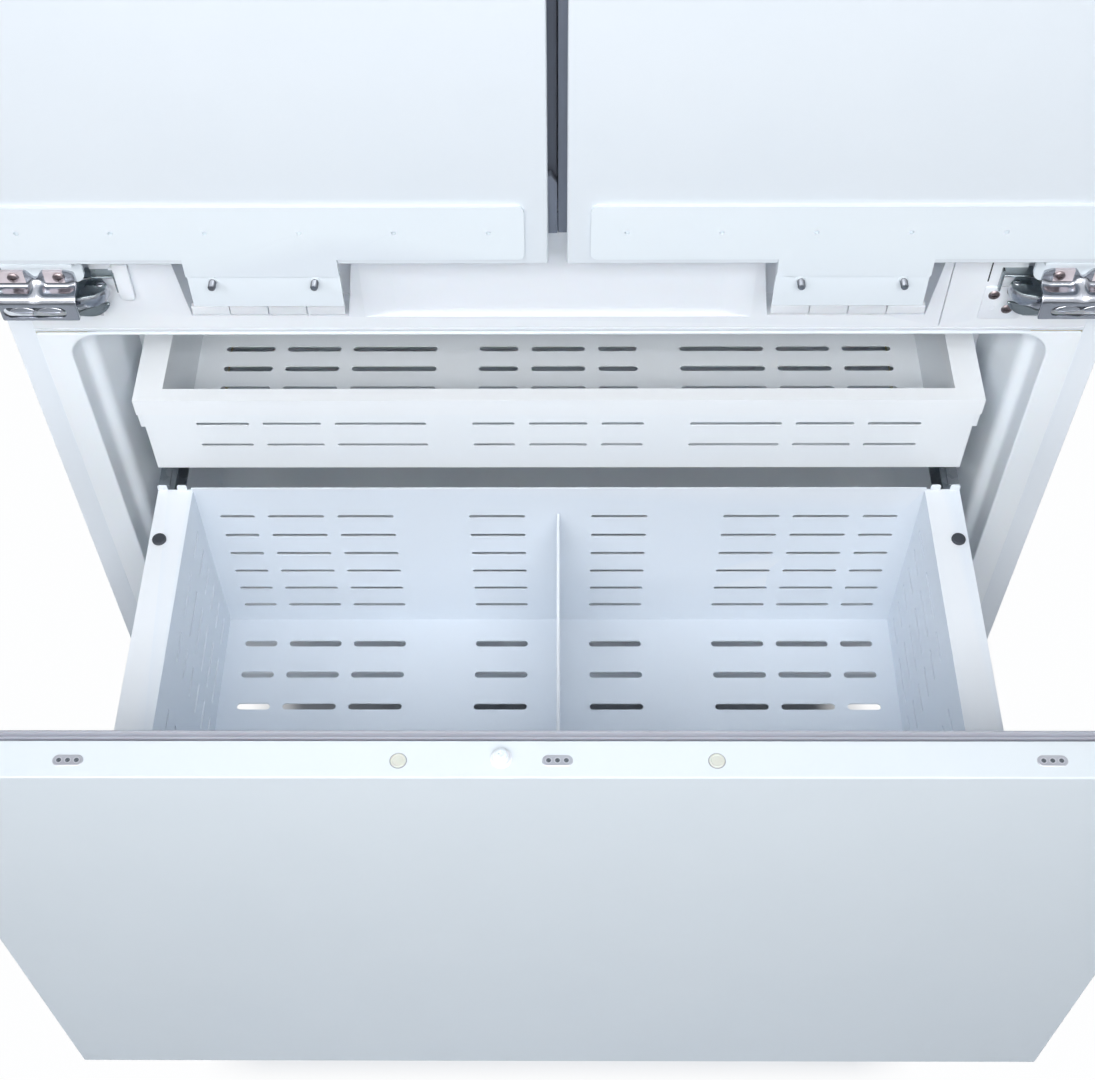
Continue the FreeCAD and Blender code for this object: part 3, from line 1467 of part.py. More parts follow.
def hinge_bracket():
    """Chrome bracket: two ears, a ledge that steps forward and a lower plate with a long window."""
    t = bracket_thickness
    x = (-bracket_x[1], -bracket_x[0])
    rear = -carrier_y - carrier_thickness
    top, ledge = door_bottom - ear_drop, door_bottom - ledge_drop
    low = door_bottom - plate_drop
    ears = []
    for start, end in ear_shares:
        ear_x = [x[0] + (x[1] - x[0]) * share for share in (start, end)]
        ear = box(ear_x, (rear - t, rear), (ledge, top))
        ears.append(ear.makeFillet(edge_radius, [edge for edge in upright_edges(ear, ALONG_Y)
                                                if edge.BoundBox.ZMin > top - through]))
    shelf = box(x, (-plate_y, rear), (ledge, ledge + t))
    plate = box(x, (-plate_y, -plate_y + t), (low, ledge + t))
    window_middle = FreeCAD.Vector(-(window_x[0] + window_x[1]) / 2, -plate_y - through,
                                   door_bottom - window_drop)
    window = Part.Face(slot_outline(window_middle, ALONG_X, ALONG_Z, window_x[1] - window_x[0],
                                    window_height)).extrude(ALONG_Y * (t + 2 * through))
    shape = fuse(ears + [shelf, plate])
    bend = [edge for edge in upright_edges(shape, ALONG_X)
            if edge.BoundBox.YMax < -plate_y + tolerance and edge.BoundBox.ZMin > ledge]
    return shape.makeFillet(t - seat_gap, bend).cut(window)


def hinge_screws():
    """The two screws of one chrome bracket."""
    seat_y = -carrier_y - carrier_thickness - bracket_thickness
    return [screw(FreeCAD.Vector(-x, seat_y, door_bottom - hinge_screw_drop), -ALONG_Y)
            for x in hinge_screw_x]


def bar_span():
    """Low and high end of the folding centre bar."""
    room = fridge_step_insets[1] + bar_end_room + bar_bracket_thickness + bar_end_gap
    return (crossbar_top + room, fridge_ceiling - room)


def centre_bar():
    """Folding bar behind the gap of the two doors, bored at both ends for its pins."""
    z = bar_span()
    block = box((-bar_left_x, bar_right_x), (bar_front_y, bar_front_y + bar_depth), z)
    block = block.makeFillet(edge_radius / 2, upright_edges(block, ALONG_Z))
    x, y = -bar_pivot_x, bar_front_y + bar_depth / 2
    bores = [rod(bar_pin_radius + running_gap, (x, y, z[0] - through), (x, y, z[0] + bar_bore_depth)),
             rod(bar_pin_radius + running_gap, (x, y, z[1] - bar_bore_depth), (x, y, z[1] + through))]
    return block.cut(bores)


def bar_brackets():
    """Door brackets with the pins that carry the folding bar at both ends."""
    x, y = -bar_pivot_x, bar_front_y + bar_depth / 2
    plate_x = (fridge_pan_x()[1] + seat_gap, x + bar_bracket_half)
    brackets = []
    for end, way in zip(bar_span(), (-1, 1)):
        start = end + way * bar_end_gap
        plate_z = (start, start + way * bar_bracket_thickness)
        plate = box(plate_x, (skin_rear_y, y + bar_bracket_half), plate_z)
        pin = rod(bar_pin_radius, (x, y, start), (x, y, end - way * (bar_bore_depth - bar_end_gap)))
        brackets.append(fuse([plate, pin]))
    return brackets


def centre_strip():
    """Strip on the right door's edge that meets the folding bar."""
    x = (strip_left_x, door_gap / 2 + gasket_inset - seat_gap)
    y = (skin_rear_y, -seat_gap)
    low = door_bottom + guide_height + bar_end_gap
    return box(x, y, (low, 2 * door_middle - low))


def edge_fixings():
    """On the freezer door's top edge: adjuster plates, plugs and a stand-off."""
    y = freezer_front_y + fixing_y_inset
    z = freezer_top
    pieces = []
    for x in adjuster_x:
        middle = FreeCAD.Vector(x, y, z)
        outer = slot_outline(middle, ALONG_X, ALONG_Y, adjuster_length, adjuster_width)
        holes = [Part.Wire(Part.makeCircle(adjuster_hole_radius,
                                           FreeCAD.Vector(x + side * adjuster_hole_pitch, y, z)))
                 for side in (-1, 0, 1)]
        pieces.append(holed_plate(outer, holes, ALONG_Z * adjuster_thickness))
    for side in (-1, 1):
        plug = rod(plug_radius, (side * plug_x, y, z), (side * plug_x, y, z + plug_height))
        pieces.append(plug)
    post_y = freezer_front_y + standoff_inset
    post = rod(standoff_radius, (standoff_x, post_y, z), (standoff_x, post_y, z + standoff_height))
    foot_top = (standoff_x, post_y, z + standoff_foot_height)
    post_foot = rod(standoff_foot_radius, (standoff_x, post_y, z), foot_top)
    top = FreeCAD.Vector(standoff_x, post_y, z + standoff_height)
    return pieces + [fuse([post, post_foot]), screw(top, ALONG_Z)]


def build():
    """Makes every piece."""
    save("cabinet_shell", cabinet_shell())
    save("back_panel", back_panel())
    save("insulation_foam", insulation_foam())
    save("freezer_liner", freezer_liner())
    save("fridge_liner", fridge_liner())
    save("crossbar_cover", crossbar_cover())
    save("hinge_cover_right", hinge_cover_right())
    save("cabinet_screws", *cabinet_screws())
    save("bar_guide", bar_guide())
    save("toe_grille", toe_grille())
    save("base_frame", base_frame())
    save("levelling_feet", *levelling_feet())
    save("compressor", compressor())
    save("condenser", condenser())
    save("condenser_fan", condenser_fan())
    save("evaporator", evaporator())
    save("evaporator_fan", evaporator_fan())
    save("evaporator_cover", evaporator_cover())
    save("air_duct_cover", air_duct_cover())
    save("fridge_shelves", *fridge_shelves())
    save("crispers", *crispers())
    save("control_panel", control_panel())
    save("power_inlet", power_inlet())
    save("slide_outer", *slide_outer())
    save("slide_middle", *slide_middle())
    save("slide_inner", *slide_inner())
    save("tray_runners", *tray_runners())
    save("freezer_basket", freezer_basket())
    save("basket_divider", basket_divider())
    save("basket_bumpers", *basket_bumpers())
    save("freezer_tray", freezer_tray())

    x, y, z = fridge_door_box()
    holes = [end for hole in rail_holes() for end in both_ends(hole)]
    left = {
        "skin": [door_skin(x, y, z).cut(holes)],
        "liner": [door_liner(x, y, z, fridge_pan_x(), fridge_bulge)],
        "gasket": [gasket(x, (skin_rear_y, -seat_gap), z)],
        "bins": door_bins(),
        "panel_rail": both_ends(panel_rail()),
        "stud_bracket": both_ends(stud_bracket()),
        "hinge_carriers": both_ends(hinge_carrier()),
        "hinge_brackets": both_ends(hinge_bracket()),
        "hinge_screws": [end for one in hinge_screws() for end in both_ends(one)],
    }
    for name, shapes in left.items():
        save("left_door_" + name, *shapes)
        save("right_door_" + name, *[mirrored(shape) for shape in shapes])
    base = both_ends(hinge_arm()) + both_ends(hinge_cup()) + [hinge_tongue()]
    save("hinge_base_left", *base)
    save("hinge_base_right", *[mirrored(shape) for shape in base])
    links = hinge_links()
    save("left_hinge_links", *links)
    save("right_hinge_links", *[mirrored(shape) for shape in links])
    save("centre_bar", centre_bar())
    save("left_door_bar_brackets", *bar_brackets())
    save("right_door_centre_strip", centre_strip())

    x = (-half, half)
    y = (freezer_front_y, freezer_front_y + skin_depth)
    z = (freezer_door_bottom, freezer_top)
    pan_reach = half - gasket_inset - gasket_width - door_pan_edge
    save("freezer_door_skin", door_skin(x, y, z))
    save("freezer_door_liner", door_liner(x, y, z, (-pan_reach, pan_reach), freezer_seal_y - seat_gap))
    save("freezer_door_gasket", gasket(x, (y[1], freezer_seal_y), z))
    save("freezer_door_fixings", *edge_fixings())


build()
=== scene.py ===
import logging
import math
from collections.abc import Callable, Sequence
from dataclasses import dataclass
from enum import Enum

import bmesh
import bpy
from mathutils import Matrix, Vector


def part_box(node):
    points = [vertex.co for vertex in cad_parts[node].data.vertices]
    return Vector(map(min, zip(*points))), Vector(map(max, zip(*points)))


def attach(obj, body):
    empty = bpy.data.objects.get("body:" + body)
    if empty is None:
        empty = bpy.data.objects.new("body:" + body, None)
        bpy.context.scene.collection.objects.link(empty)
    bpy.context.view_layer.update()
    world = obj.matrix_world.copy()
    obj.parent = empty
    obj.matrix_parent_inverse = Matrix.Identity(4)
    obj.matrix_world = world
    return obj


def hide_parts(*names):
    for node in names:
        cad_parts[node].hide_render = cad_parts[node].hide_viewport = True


# A tall built-in refrigerator without its wooden fronts: two fridge doors above a drawn-out
# freezer drawer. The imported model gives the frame; the classes below finish its pieces, build
# the detailed ones, and set up a plain studio. Lengths are in millimetres where a line doesn't
# say otherwise; Vectors are in metres.

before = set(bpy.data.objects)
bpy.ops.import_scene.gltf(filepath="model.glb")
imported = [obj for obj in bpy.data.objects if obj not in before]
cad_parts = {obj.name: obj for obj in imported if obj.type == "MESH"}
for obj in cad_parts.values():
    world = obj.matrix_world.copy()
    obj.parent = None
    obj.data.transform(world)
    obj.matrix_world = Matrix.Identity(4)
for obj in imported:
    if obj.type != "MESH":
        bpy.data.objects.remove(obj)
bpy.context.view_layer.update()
LOG = logging.getLogger("refrigerator")
MM = 0.001
FULL_TURN = 2 * math.pi
UP = Vector((0, 0, 1))
FORWARD = Vector((0, -1, 0))

Point = tuple[float, float]
Triple = tuple[float, float, float]
Shape = bmesh.types.BMesh
Tree = bpy.types.NodeTree
Socket = bpy.types.NodeSocket
Spot = Callable[[float, float, float], Vector]


# Finishes

class Grain(Enum):
    """How a surface was made, which decides its fine relief."""

    SPRAYED = "sprayed"
    MOULDED = "moulded"
    BRUSHED = "brushed"
    SPANGLED = "spangled"
    PLATED = "plated"
    CELLULAR = "cellular"


@dataclass(frozen=True)
class Finish:
    """A real material, named for what it is and how its surface was made.

    Args:
        name: The material's name.
        colour: Its usual colour, sRGB hex.
        shade: The colour that it drifts to in patches, sRGB hex.
        worn: The colour of its rubbed edges, sRGB hex.
        grain: How its surface was made.
        grain_size: Size of that relief.
        relief: Depth of that relief.
        roughness: Roughness at its smoothest.
        roughness_swing: How much rougher its dullest patches are.
        metallic: 1 for a bare metal.
        ior: Index of refraction of a dielectric, or None to keep the usual value.
        coat: Weight of a clear coat.
        clear: Transmission weight of a see-through plastic or glass.
        softness: Subsurface weight of a milky plastic.
    """

    name: str
    colour: str
    shade: str
    worn: str
    grain: Grain
    grain_size: float
    relief: float
    roughness: float
    roughness_swing: float
    metallic: float = 0.0
    ior: float | None = None
    coat: float = 0.0
    clear: float = 0.0
    softness: float = 0.0


# Polyester powder on steel, baked: a faint orange peel about a coin's thickness apart.
DOOR_STEEL = Finish("powder_coated_door_steel", "#DAE1E8", "#D5DDE5", "#E0E6EC", Grain.SPRAYED,
                    2.6, 0.012, 0.30, 0.10, ior=1.52, coat=0.15)
# The doors' coat again, painted one step greyer as shade on the drawer's front, which sits lower and gets less
# light.
DRAWER_STEEL_PAINTED_SHADE = Finish("powder_coated_steel_painted_drawer_shade", "#D1D9DF", "#CCD5DC", "#DAE1E7", Grain.SPRAYED,
                      2.6, 0.012, 0.32, 0.10, ior=1.52, coat=0.12)
# The same coat on the cabinet's roll-formed sheets, a little flatter in gloss.
CABINET_STEEL = Finish("powder_coated_cabinet_steel", "#EAF1F8", "#E3EBF4", "#F2F6FB", Grain.SPRAYED,
                       3.0, 0.014, 0.36, 0.12, ior=1.52, coat=0.1)
# Epoxy powder on the folded freezer basket and tray: smoother, with soft rounded cut edges.
COATED_SHEET = Finish("epoxy_coated_sheet", "#F8FCFF", "#F4F9FE", "#F8FBFE", Grain.SPRAYED,
                      2.2, 0.010, 0.34, 0.10, ior=1.52, coat=0.12)
# The basket and its divider take the same coat, painted a step greyer as shade.
BASKET_SHEET_PAINTED_SHADE = Finish("epoxy_coated_sheet_painted_basket_shade", "#EDF4FC", "#E9F1FA", "#F0F5FB", Grain.SPRAYED,
                      2.2, 0.010, 0.36, 0.10, ior=1.52, coat=0.1)
# Brackets under the doors have a thicker coat that fills their corners.
BRACKET_STEEL = Finish("powder_coated_bracket_steel", "#E4ECF2", "#E0E9F0", "#DCE4EC", Grain.SPRAYED,
                       1.8, 0.012, 0.33, 0.10, ior=1.52, coat=0.1)
# Vacuum-formed high-impact polystyrene: glossy on its high spots, with slow thickness waves.
LINER_PLASTIC = Finish("vacuum_formed_polystyrene", "#F5FAFF", "#F1F7FD", "#F5F9FD", Grain.MOULDED,
                       6.0, 0.020, 0.28, 0.12, ior=1.59, softness=0.04)
# Injection-moulded ABS with a fine spark-eroded skin.
MOULDED_ABS = Finish("spark_textured_white_abs", "#E8ECF2", "#E4E9F0", "#EBEFF4", Grain.MOULDED,
                     0.9, 0.010, 0.42, 0.10, ior=1.53, softness=0.03)
# Hot-dip galvanised strip: frosty zinc crystals a fingernail across.
GALVANISED = Finish("galvanised_strip_steel", "#BCC2C7", "#9EA6AD", "#D3D7DA", Grain.SPANGLED,
                    9.0, 0.006, 0.30, 0.25, metallic=1.0)
# Blue-passivated zinc on small fixings: satin, with a slight rainbow lost at this distance.
ZINC_PLATE = Finish("zinc_plated_steel", "#BFC0C6", "#A3A4AB", "#DCDCE0", Grain.PLATED,
                    0.8, 0.004, 0.28, 0.18, metallic=1.0)
# Rolled screws, studs and eyelets: the same zinc, painted darker as shade.
FIXING_ZINC_PAINTED_SHADE = Finish("zinc_fixing_steel_painted_shade", "#888C93", "#73777E", "#A9ADB3", Grain.PLATED,
                      0.5, 0.005, 0.38, 0.14, metallic=1.0)
# Bright nickel over stamped steel: a near mirror with the press tool's fine draw lines.
NICKEL_PLATE = Finish("nickel_plated_stamping", "#C3C5CB", "#A9ACB3", "#E4E5E8", Grain.BRUSHED,
                      0.9, 0.006, 0.15, 0.10, metallic=1.0)
# The links' tops and the fixed arms: the same nickel, painted darker and grey-green as shade.
LINK_NICKEL_PAINTED_SHADE = Finish("nickel_link_painted_shade", "#A4ADB1", "#8A9396", "#C6CDCF", Grain.BRUSHED,
                    1.2, 0.006, 0.20, 0.12, metallic=1.0)
# Ears of the brackets: the same nickel, painted pinkish-white and less metallic as the reflection on their upper
# faces.
EAR_NICKEL_PAINTED_REFLECTION = Finish("nickel_painted_ear_reflection", "#DCD2D6", "#CFC5CA", "#E8E0E3", Grain.PLATED,
                        0.5, 0.020, 0.52, 0.12, metallic=0.35)
# Cross-recessed screws keep the bronze tinge of their clear-coated nickel.
SCREW_NICKEL = Finish("clear_coated_screw_steel", "#8D8182", "#6F6567", "#B9B1B2", Grain.PLATED,
                      0.6, 0.006, 0.30, 0.15, metallic=1.0)
# Painted folding bar: a dark slate coat over extruded aluminium.
SLATE_BAR = Finish("slate_coated_extrusion", "#79808F", "#707786", "#8A919D", Grain.SPRAYED,
                   1.6, 0.012, 0.42, 0.12, ior=1.5)
# The same coat on the flap at the left door, painted lighter as the light that falls on it.
SLATE_FLAP_PAINTED_LIGHT = Finish("slate_coat_painted_flap_light", "#7D8494", "#747B8B", "#8E95A1", Grain.SPRAYED,
                    1.6, 0.012, 0.42, 0.12, ior=1.5)
# Soft vinyl of the magnetic seals: matt, slightly waxy, greyer in its folds.
SEAL_VINYL = Finish("extruded_seal_vinyl", "#A2A5B0", "#989BA7", "#AEB1BB", Grain.MOULDED,
                    1.4, 0.014, 0.55, 0.12, ior=1.52, softness=0.05)
# Nitrile rubber buttons with the bloom that rubber gets.
RUBBER = Finish("moulded_black_rubber", "#30343C", "#3A3E46", "#4A4E55", Grain.MOULDED,
                0.7, 0.020, 0.62, 0.14, ior=1.52)
# Glass-filled nylon of the tools-out fittings and pulley blocks.
DARK_NYLON = Finish("glass_filled_dark_nylon", "#3B4047", "#33383F", "#565C63", Grain.MOULDED,
                    0.8, 0.014, 0.50, 0.12, ior=1.53)
# The bar's guide is turned from acetal, which needs no grease; its blue-grey is painted shade of the gap between
# the doors.
GUIDE_PAINTED_GAP_SHADE = Finish("guide_acetal_painted_gap_shade", "#98A3B6", "#8F9AAD", "#A9B3C3", Grain.MOULDED,
                      0.7, 0.010, 0.38, 0.12, ior=1.48)
# The back of the air grille stays almost black: painted shadow behind a louvre.
SHADOW_NYLON = Finish("louvre_nylon_painted_shadow", "#14171C", "#1B1F25", "#262A30", Grain.MOULDED,
                      0.9, 0.012, 0.60, 0.12, ior=1.53)
# Tempered shelf glass, clear with a green cast in its thickness.
SHELF_GLASS = Finish("tempered_shelf_glass", "#F3FAF7", "#EEF7F3", "#FFFFFF", Grain.PLATED,
                     30.0, 0.001, 0.02, 0.02, ior=1.52, clear=1.0)
# Crystal polystyrene of the bins and crispers: brilliant, very faintly blue.
CLEAR_STYRENE = Finish("moulded_crystal_styrene", "#F1F7FC", "#EBF3FA", "#FFFFFF", Grain.MOULDED,
                       8.0, 0.006, 0.05, 0.05, ior=1.59, clear=0.9)
# Stove enamel on the compressor's deep-drawn can.
COMPRESSOR_ENAMEL = Finish("stove_enamelled_black_can", "#191B1E", "#212428", "#3A3D41", Grain.SPRAYED,
                           2.4, 0.020, 0.26, 0.14, ior=1.52, coat=0.3)
# Mill-finish aluminium fins on drawn tubes.
COIL_ALUMINIUM = Finish("mill_finish_aluminium", "#C9CCD0", "#B2B6BB", "#E0E2E4", Grain.BRUSHED,
                        0.7, 0.008, 0.34, 0.16, metallic=1.0)
# Polypropylene fan rotors.
FAN_POLYPROPYLENE = Finish("moulded_grey_polypropylene", "#D9DDE2", "#CDD2D8", "#E8EBEE", Grain.MOULDED,
                           1.2, 0.012, 0.40, 0.12, ior=1.49, softness=0.05)
# Cream nylon plugs of the freezer door's edge.
CREAM_NYLON = Finish("moulded_cream_nylon", "#CDCFC7", "#C3C5BC", "#DADBD4", Grain.MOULDED,
                     0.9, 0.010, 0.44, 0.10, ior=1.53, softness=0.10)
# Blown polyurethane with its skinned-over cells.
BLOWN_FOAM = Finish("blown_polyurethane_foam", "#E9DFBE", "#DCCFA4", "#EFE7CC", Grain.CELLULAR,
                    2.5, 0.25, 0.85, 0.10, ior=1.45, softness=0.1)


def linear_colour(code: str) -> tuple[float, float, float, float]:
    """Turns an sRGB hex colour into the linear values that shaders take.

    Args:
        code: Six hex digits after a hash.

    Returns:
        Red, green, blue and full opacity.
    """
    parts = [int(code[start:start + 2], 16) / 255 for start in (1, 3, 5)]
    red, green, blue = (part / 12.92 if part <= 0.04045 else ((part + 0.055) / 1.055) ** 2.4 for part in parts)
    return red, green, blue, 1.0


def add_node(tree: Tree, kind: str, settings: dict[str, object] | None = None,
             inputs: dict[str | int, object] | None = None) -> bpy.types.Node:
    """Adds a shader node with its settings, and sets or links its inputs.

    Args:
        tree: The node tree.
        kind: The node's type.
        settings: Attributes of the node.
        inputs: Values or output sockets for its inputs, by name or number.

    Returns:
        The new node.
    """
    node = tree.nodes.new(kind)
    for name, value in (settings or {}).items():
        setattr(node, name, value)
    for name, value in (inputs or {}).items():
        if isinstance(value, Socket):
            tree.links.new(value, node.inputs[name])
        else:
            node.inputs[name].default_value = value
    return node


class Workshop:
    """Mixes each finish once and dresses pieces with it.

    The patches of every finish are a hand's breadth wide, and its dull spots a thumb's. Wear starts
    and is full at two values of a point's sharpness, light sinks a little into milky plastics, and
    the draw lines of brushed metal are many times longer than they are wide.
    """

    patch_size: float = 90.0
    smudge_size: float = 24.0
    wear_start: float = 0.53
    wear_end: float = 0.62
    milk_depth: float = 4.0
    draw_length: float = 30.0

    def __init__(self) -> None:
        """Starts with no material mixed."""
        self.mixed: dict[str, bpy.types.Material] = {}

    def material(self, finish: Finish) -> bpy.types.Material:
        """Gives the material of a finish.

        Args:
            finish: The finish.

        Returns:
            The material, made at its first use.
        """
        if finish.name not in self.mixed:
            self.mixed[finish.name] = self.mix(finish)
        return self.mixed[finish.name]

    def mix(self, finish: Finish) -> bpy.types.Material:
        """Builds a finish's shader: patchy colour, rubbed edges, smudged gloss and fine relief.

        Args:
            finish: The finish.

        Returns:
            The new material.
        """
        material = bpy.data.materials.new(finish.name)
        material.use_nodes = True
        tree = material.node_tree
        tree.nodes.clear()
        place = add_node(tree, "ShaderNodeTexCoord").outputs["Object"]
        patches = self.noise(tree, place, self.patch_size)
        colour = add_node(tree, "ShaderNodeMix", {"data_type": "RGBA"}, {
            "Factor": patches, 6: linear_colour(finish.colour), 7: linear_colour(finish.shade)}).outputs[2]
        wear = add_node(tree, "ShaderNodeMapRange", None, {
            "Value": add_node(tree, "ShaderNodeNewGeometry").outputs["Pointiness"],
            "From Min": self.wear_start, "From Max": self.wear_end}).outputs["Result"]
        colour = add_node(tree, "ShaderNodeMix", {"data_type": "RGBA"}, {
            "Factor": wear, 6: colour, 7: linear_colour(finish.worn)}).outputs[2]
        gloss = add_node(tree, "ShaderNodeMapRange", None, {
            "Value": self.noise(tree, place, self.smudge_size),
            "To Min": finish.roughness, "To Max": finish.roughness + finish.roughness_swing}).outputs["Result"]
        relief, tint = self.relief(tree, place, finish.grain, finish.grain_size)
        if tint is not None:
            colour = add_node(tree, "ShaderNodeMix", {"data_type": "RGBA"}, {
                "Factor": tint, 6: colour, 7: linear_colour(finish.shade)}).outputs[2]
        bump = add_node(tree, "ShaderNodeBump", None, {
            "Strength": 1.0, "Distance": finish.relief * MM, "Height": relief}).outputs["Normal"]
        shader = add_node(tree, "ShaderNodeBsdfPrincipled", None, {
            "Base Color": colour, "Roughness": gloss, "Metallic": finish.metallic, "Normal": bump,
            "Coat Weight": finish.coat, "Transmission Weight": finish.clear,
            "Subsurface Weight": finish.softness, "Subsurface Scale": self.milk_depth * MM})
        if finish.ior is not None:
            shader.inputs["IOR"].default_value = finish.ior
        add_node(tree, "ShaderNodeOutputMaterial", None, {"Surface": shader.outputs["BSDF"]})
        return material

    def noise(self, tree: Tree, place: Socket, size: float) -> Socket:
        """Adds soft noise whose spots have a real size.

        Args:
            tree: The node tree.
            place: The coordinates, in metres.
            size: Width of a spot.

        Returns:
            The noise's strength.
        """
        return add_node(tree, "ShaderNodeTexNoise", None, {
            "Vector": place, "Scale": 1 / (size * MM), "Detail": 3.0, "Roughness": 0.55}).outputs["Fac"]

    def relief(self, tree: Tree, place: Socket, grain: Grain,
               size: float) -> tuple[Socket, Socket | None]:
        """Adds the fine relief that the way of making leaves.

        Args:
            tree: The node tree.
            place: The coordinates, in metres.
            grain: How the surface was made.
            size: Size of the relief.

        Returns:
            The height, and the share of the shade colour where the relief also shows as colour.
        """
        if grain is Grain.BRUSHED:
            # Draw lines run along X.
            stretched = add_node(tree, "ShaderNodeMapping", None, {
                "Vector": place, "Scale": (1 / self.draw_length, 1.0, 1.0)}).outputs["Vector"]
            height = self.noise(tree, stretched, size)
            return height, height
        if grain in (Grain.SPANGLED, Grain.CELLULAR):
            cells = add_node(tree, "ShaderNodeTexVoronoi", None, {
                "Vector": place, "Scale": 1 / (size * MM), "Randomness": 1.0})
            tone = add_node(tree, "ShaderNodeSeparateColor", None, {
                "Color": cells.outputs["Color"]}).outputs["Red"]
            return (tone, tone) if grain is Grain.SPANGLED else (cells.outputs["Distance"], None)
        return self.noise(tree, place, size), None

    def dress(self, piece: bpy.types.Object, *finishes: Finish) -> bpy.types.Object:
        """Gives a piece its finishes, one for each material slot.

        Args:
            piece: The piece.
            finishes: The finishes, in the order of its material slots.

        Returns:
            The piece.
        """
        if piece.data.materials:
            # Clearing also resets every face's slot, so a new mesh is left alone.
            piece.data.materials.clear()
        for finish in finishes:
            piece.data.materials.append(self.material(finish))
        return piece


WORKSHOP = Workshop()


# Shaping

# Points closer than this are one.
WELD_GAP = 0.002
# Faces that meet below this angle are one face, and edges above the other are rounded, in degrees.
FLAT_ANGLE = 0.4
EDGE_ANGLE = 40
# A plate's faces that meet above this angle have an eased edge, in radians.
FOLD_ANGLE = 0.7


def report(name: str, what: str) -> None:
    """Logs a finished piece."""
    LOG.info("%s: %s", name, what)


def add_modifier(piece: bpy.types.Object, name: str, kind: str, **settings: object) -> None:
    """Adds a modifier with its settings."""
    modifier = piece.modifiers.new(name, kind)
    for setting, value in settings.items():
        setattr(modifier, setting, value)


def finish_node(name: str, finish: Finish, edge: float, segments: int = 2) -> None:
    """Keeps a CAD node, rounds its sharp edges and gives it its finish.

    The CAD's triangles are joined into whole faces first, so that only real edges are rounded.

    Args:
        name: The node's name.
        finish: Its finish.
        edge: Radius of its edges.
        segments: Facets of each rounded edge.
    """
    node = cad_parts[name]
    WORKSHOP.dress(node, finish)
    if edge > 0:
        add_modifier(node, "weld", "WELD", merge_threshold=WELD_GAP * MM)
        add_modifier(node, "whole_faces", "DECIMATE", decimate_type="DISSOLVE",
                     angle_limit=math.radians(FLAT_ANGLE))
        add_modifier(node, "rounded_edges", "BEVEL", width=edge * MM, segments=segments, limit_method="ANGLE",
                     angle_limit=math.radians(EDGE_ANGLE), use_clamp_overlap=True)
        add_modifier(node, "flat_faces", "WEIGHTED_NORMAL", keep_sharp=True)
    report(name, finish.name)


def make_piece(name: str, mesh: bpy.types.Mesh, body: str, finishes: Sequence[Finish],
               nodes: Sequence[str] = (), smooth_angle: float = 35.0) -> bpy.types.Object:
    """Turns a mesh into a dressed piece that rides on a body.

    Args:
        name: The piece's name.
        mesh: Its mesh, in metres in the row frame.
        body: The body that it rides on.
        finishes: Its finishes, one for each material slot.
        nodes: The CAD nodes that it stands for.
        smooth_angle: Edges below this angle are shaded smooth, in degrees.

    Returns:
        The new piece.
    """
    mesh.name = name
    piece = bpy.data.objects.new(name, mesh)
    bpy.context.scene.collection.objects.link(piece)
    WORKSHOP.dress(piece, *finishes)
    mesh.shade_smooth()
    mesh.set_sharp_from_angle(angle=math.radians(smooth_angle))
    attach(piece, body)
    if nodes:
        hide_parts(*nodes)
    report(name, ", ".join(finish.name for finish in finishes))
    return piece


def mesh_of(shape: Shape) -> bpy.types.Mesh:
    """Joins a shape's matching points and turns it into a mesh whose faces look outward.

    Args:
        shape: The shape; it is freed.

    Returns:
        The mesh.
    """
    bmesh.ops.remove_doubles(shape, verts=shape.verts, dist=0.001 * MM)
    bmesh.ops.recalc_face_normals(shape, faces=shape.faces)
    mesh = bpy.data.meshes.new("shape")
    shape.to_mesh(mesh)
    shape.free()
    return mesh


def place_on(origin: Vector, axis: Vector) -> Matrix:
    """A frame whose Z axis points along an axis.

    Args:
        origin: Its origin, in metres.
        axis: Its Z axis.

    Returns:
        The matrix.
    """
    return Matrix.Translation(origin) @ axis.to_track_quat("Z", "Y").to_matrix().to_4x4()


def add_rings(shape: Shape, rings: Sequence[Sequence[Vector]], closed: bool = False,
              slot: int = 0, caps: tuple[bool, bool] = (True, True)) -> None:
    """Joins rows of points into a skin.

    Args:
        shape: The shape that gets the skin.
        rings: Rows of as many points each; each row closes on itself.
        closed: Whether the last row joins the first.
        slot: Material slot of the faces.
        caps: Whether the first and the last row are filled, where the rows aren't closed.
    """
    rows = [[shape.verts.new(point) for point in ring] for ring in rings]
    pairs = list(zip(rows, rows[1:]))
    if closed:
        pairs.append((rows[-1], rows[0]))
    for low, high in pairs:
        for index in range(len(low)):
            after = (index + 1) % len(low)
            face = shape.faces.new((low[index], low[after], high[after], high[index]))
            face.material_index = slot
    for row, filled in zip((rows[0], rows[-1]), caps):
        if filled and not closed:
            shape.faces.new(row).material_index = slot


def add_turned(shape: Shape, profile: Sequence[Point], where: Matrix, sides: int = 32,
               slot: int = 0) -> None:
    """Adds a turned body.

    Args:
        shape: The shape that gets the body.
        profile: Radius and height of its rings from end to end.
        where: Its frame, turned about Z.
        sides: Facets round it.
        slot: Material slot of its faces.
    """
    rings = []
    for radius, height in profile:
        ring = []
        for index in range(sides):
            angle = FULL_TURN * index / sides
            spot = Vector((math.cos(angle) * radius, math.sin(angle) * radius, height)) * MM
            ring.append(where @ spot)
        rings.append(ring)
    add_rings(shape, rings, slot=slot)


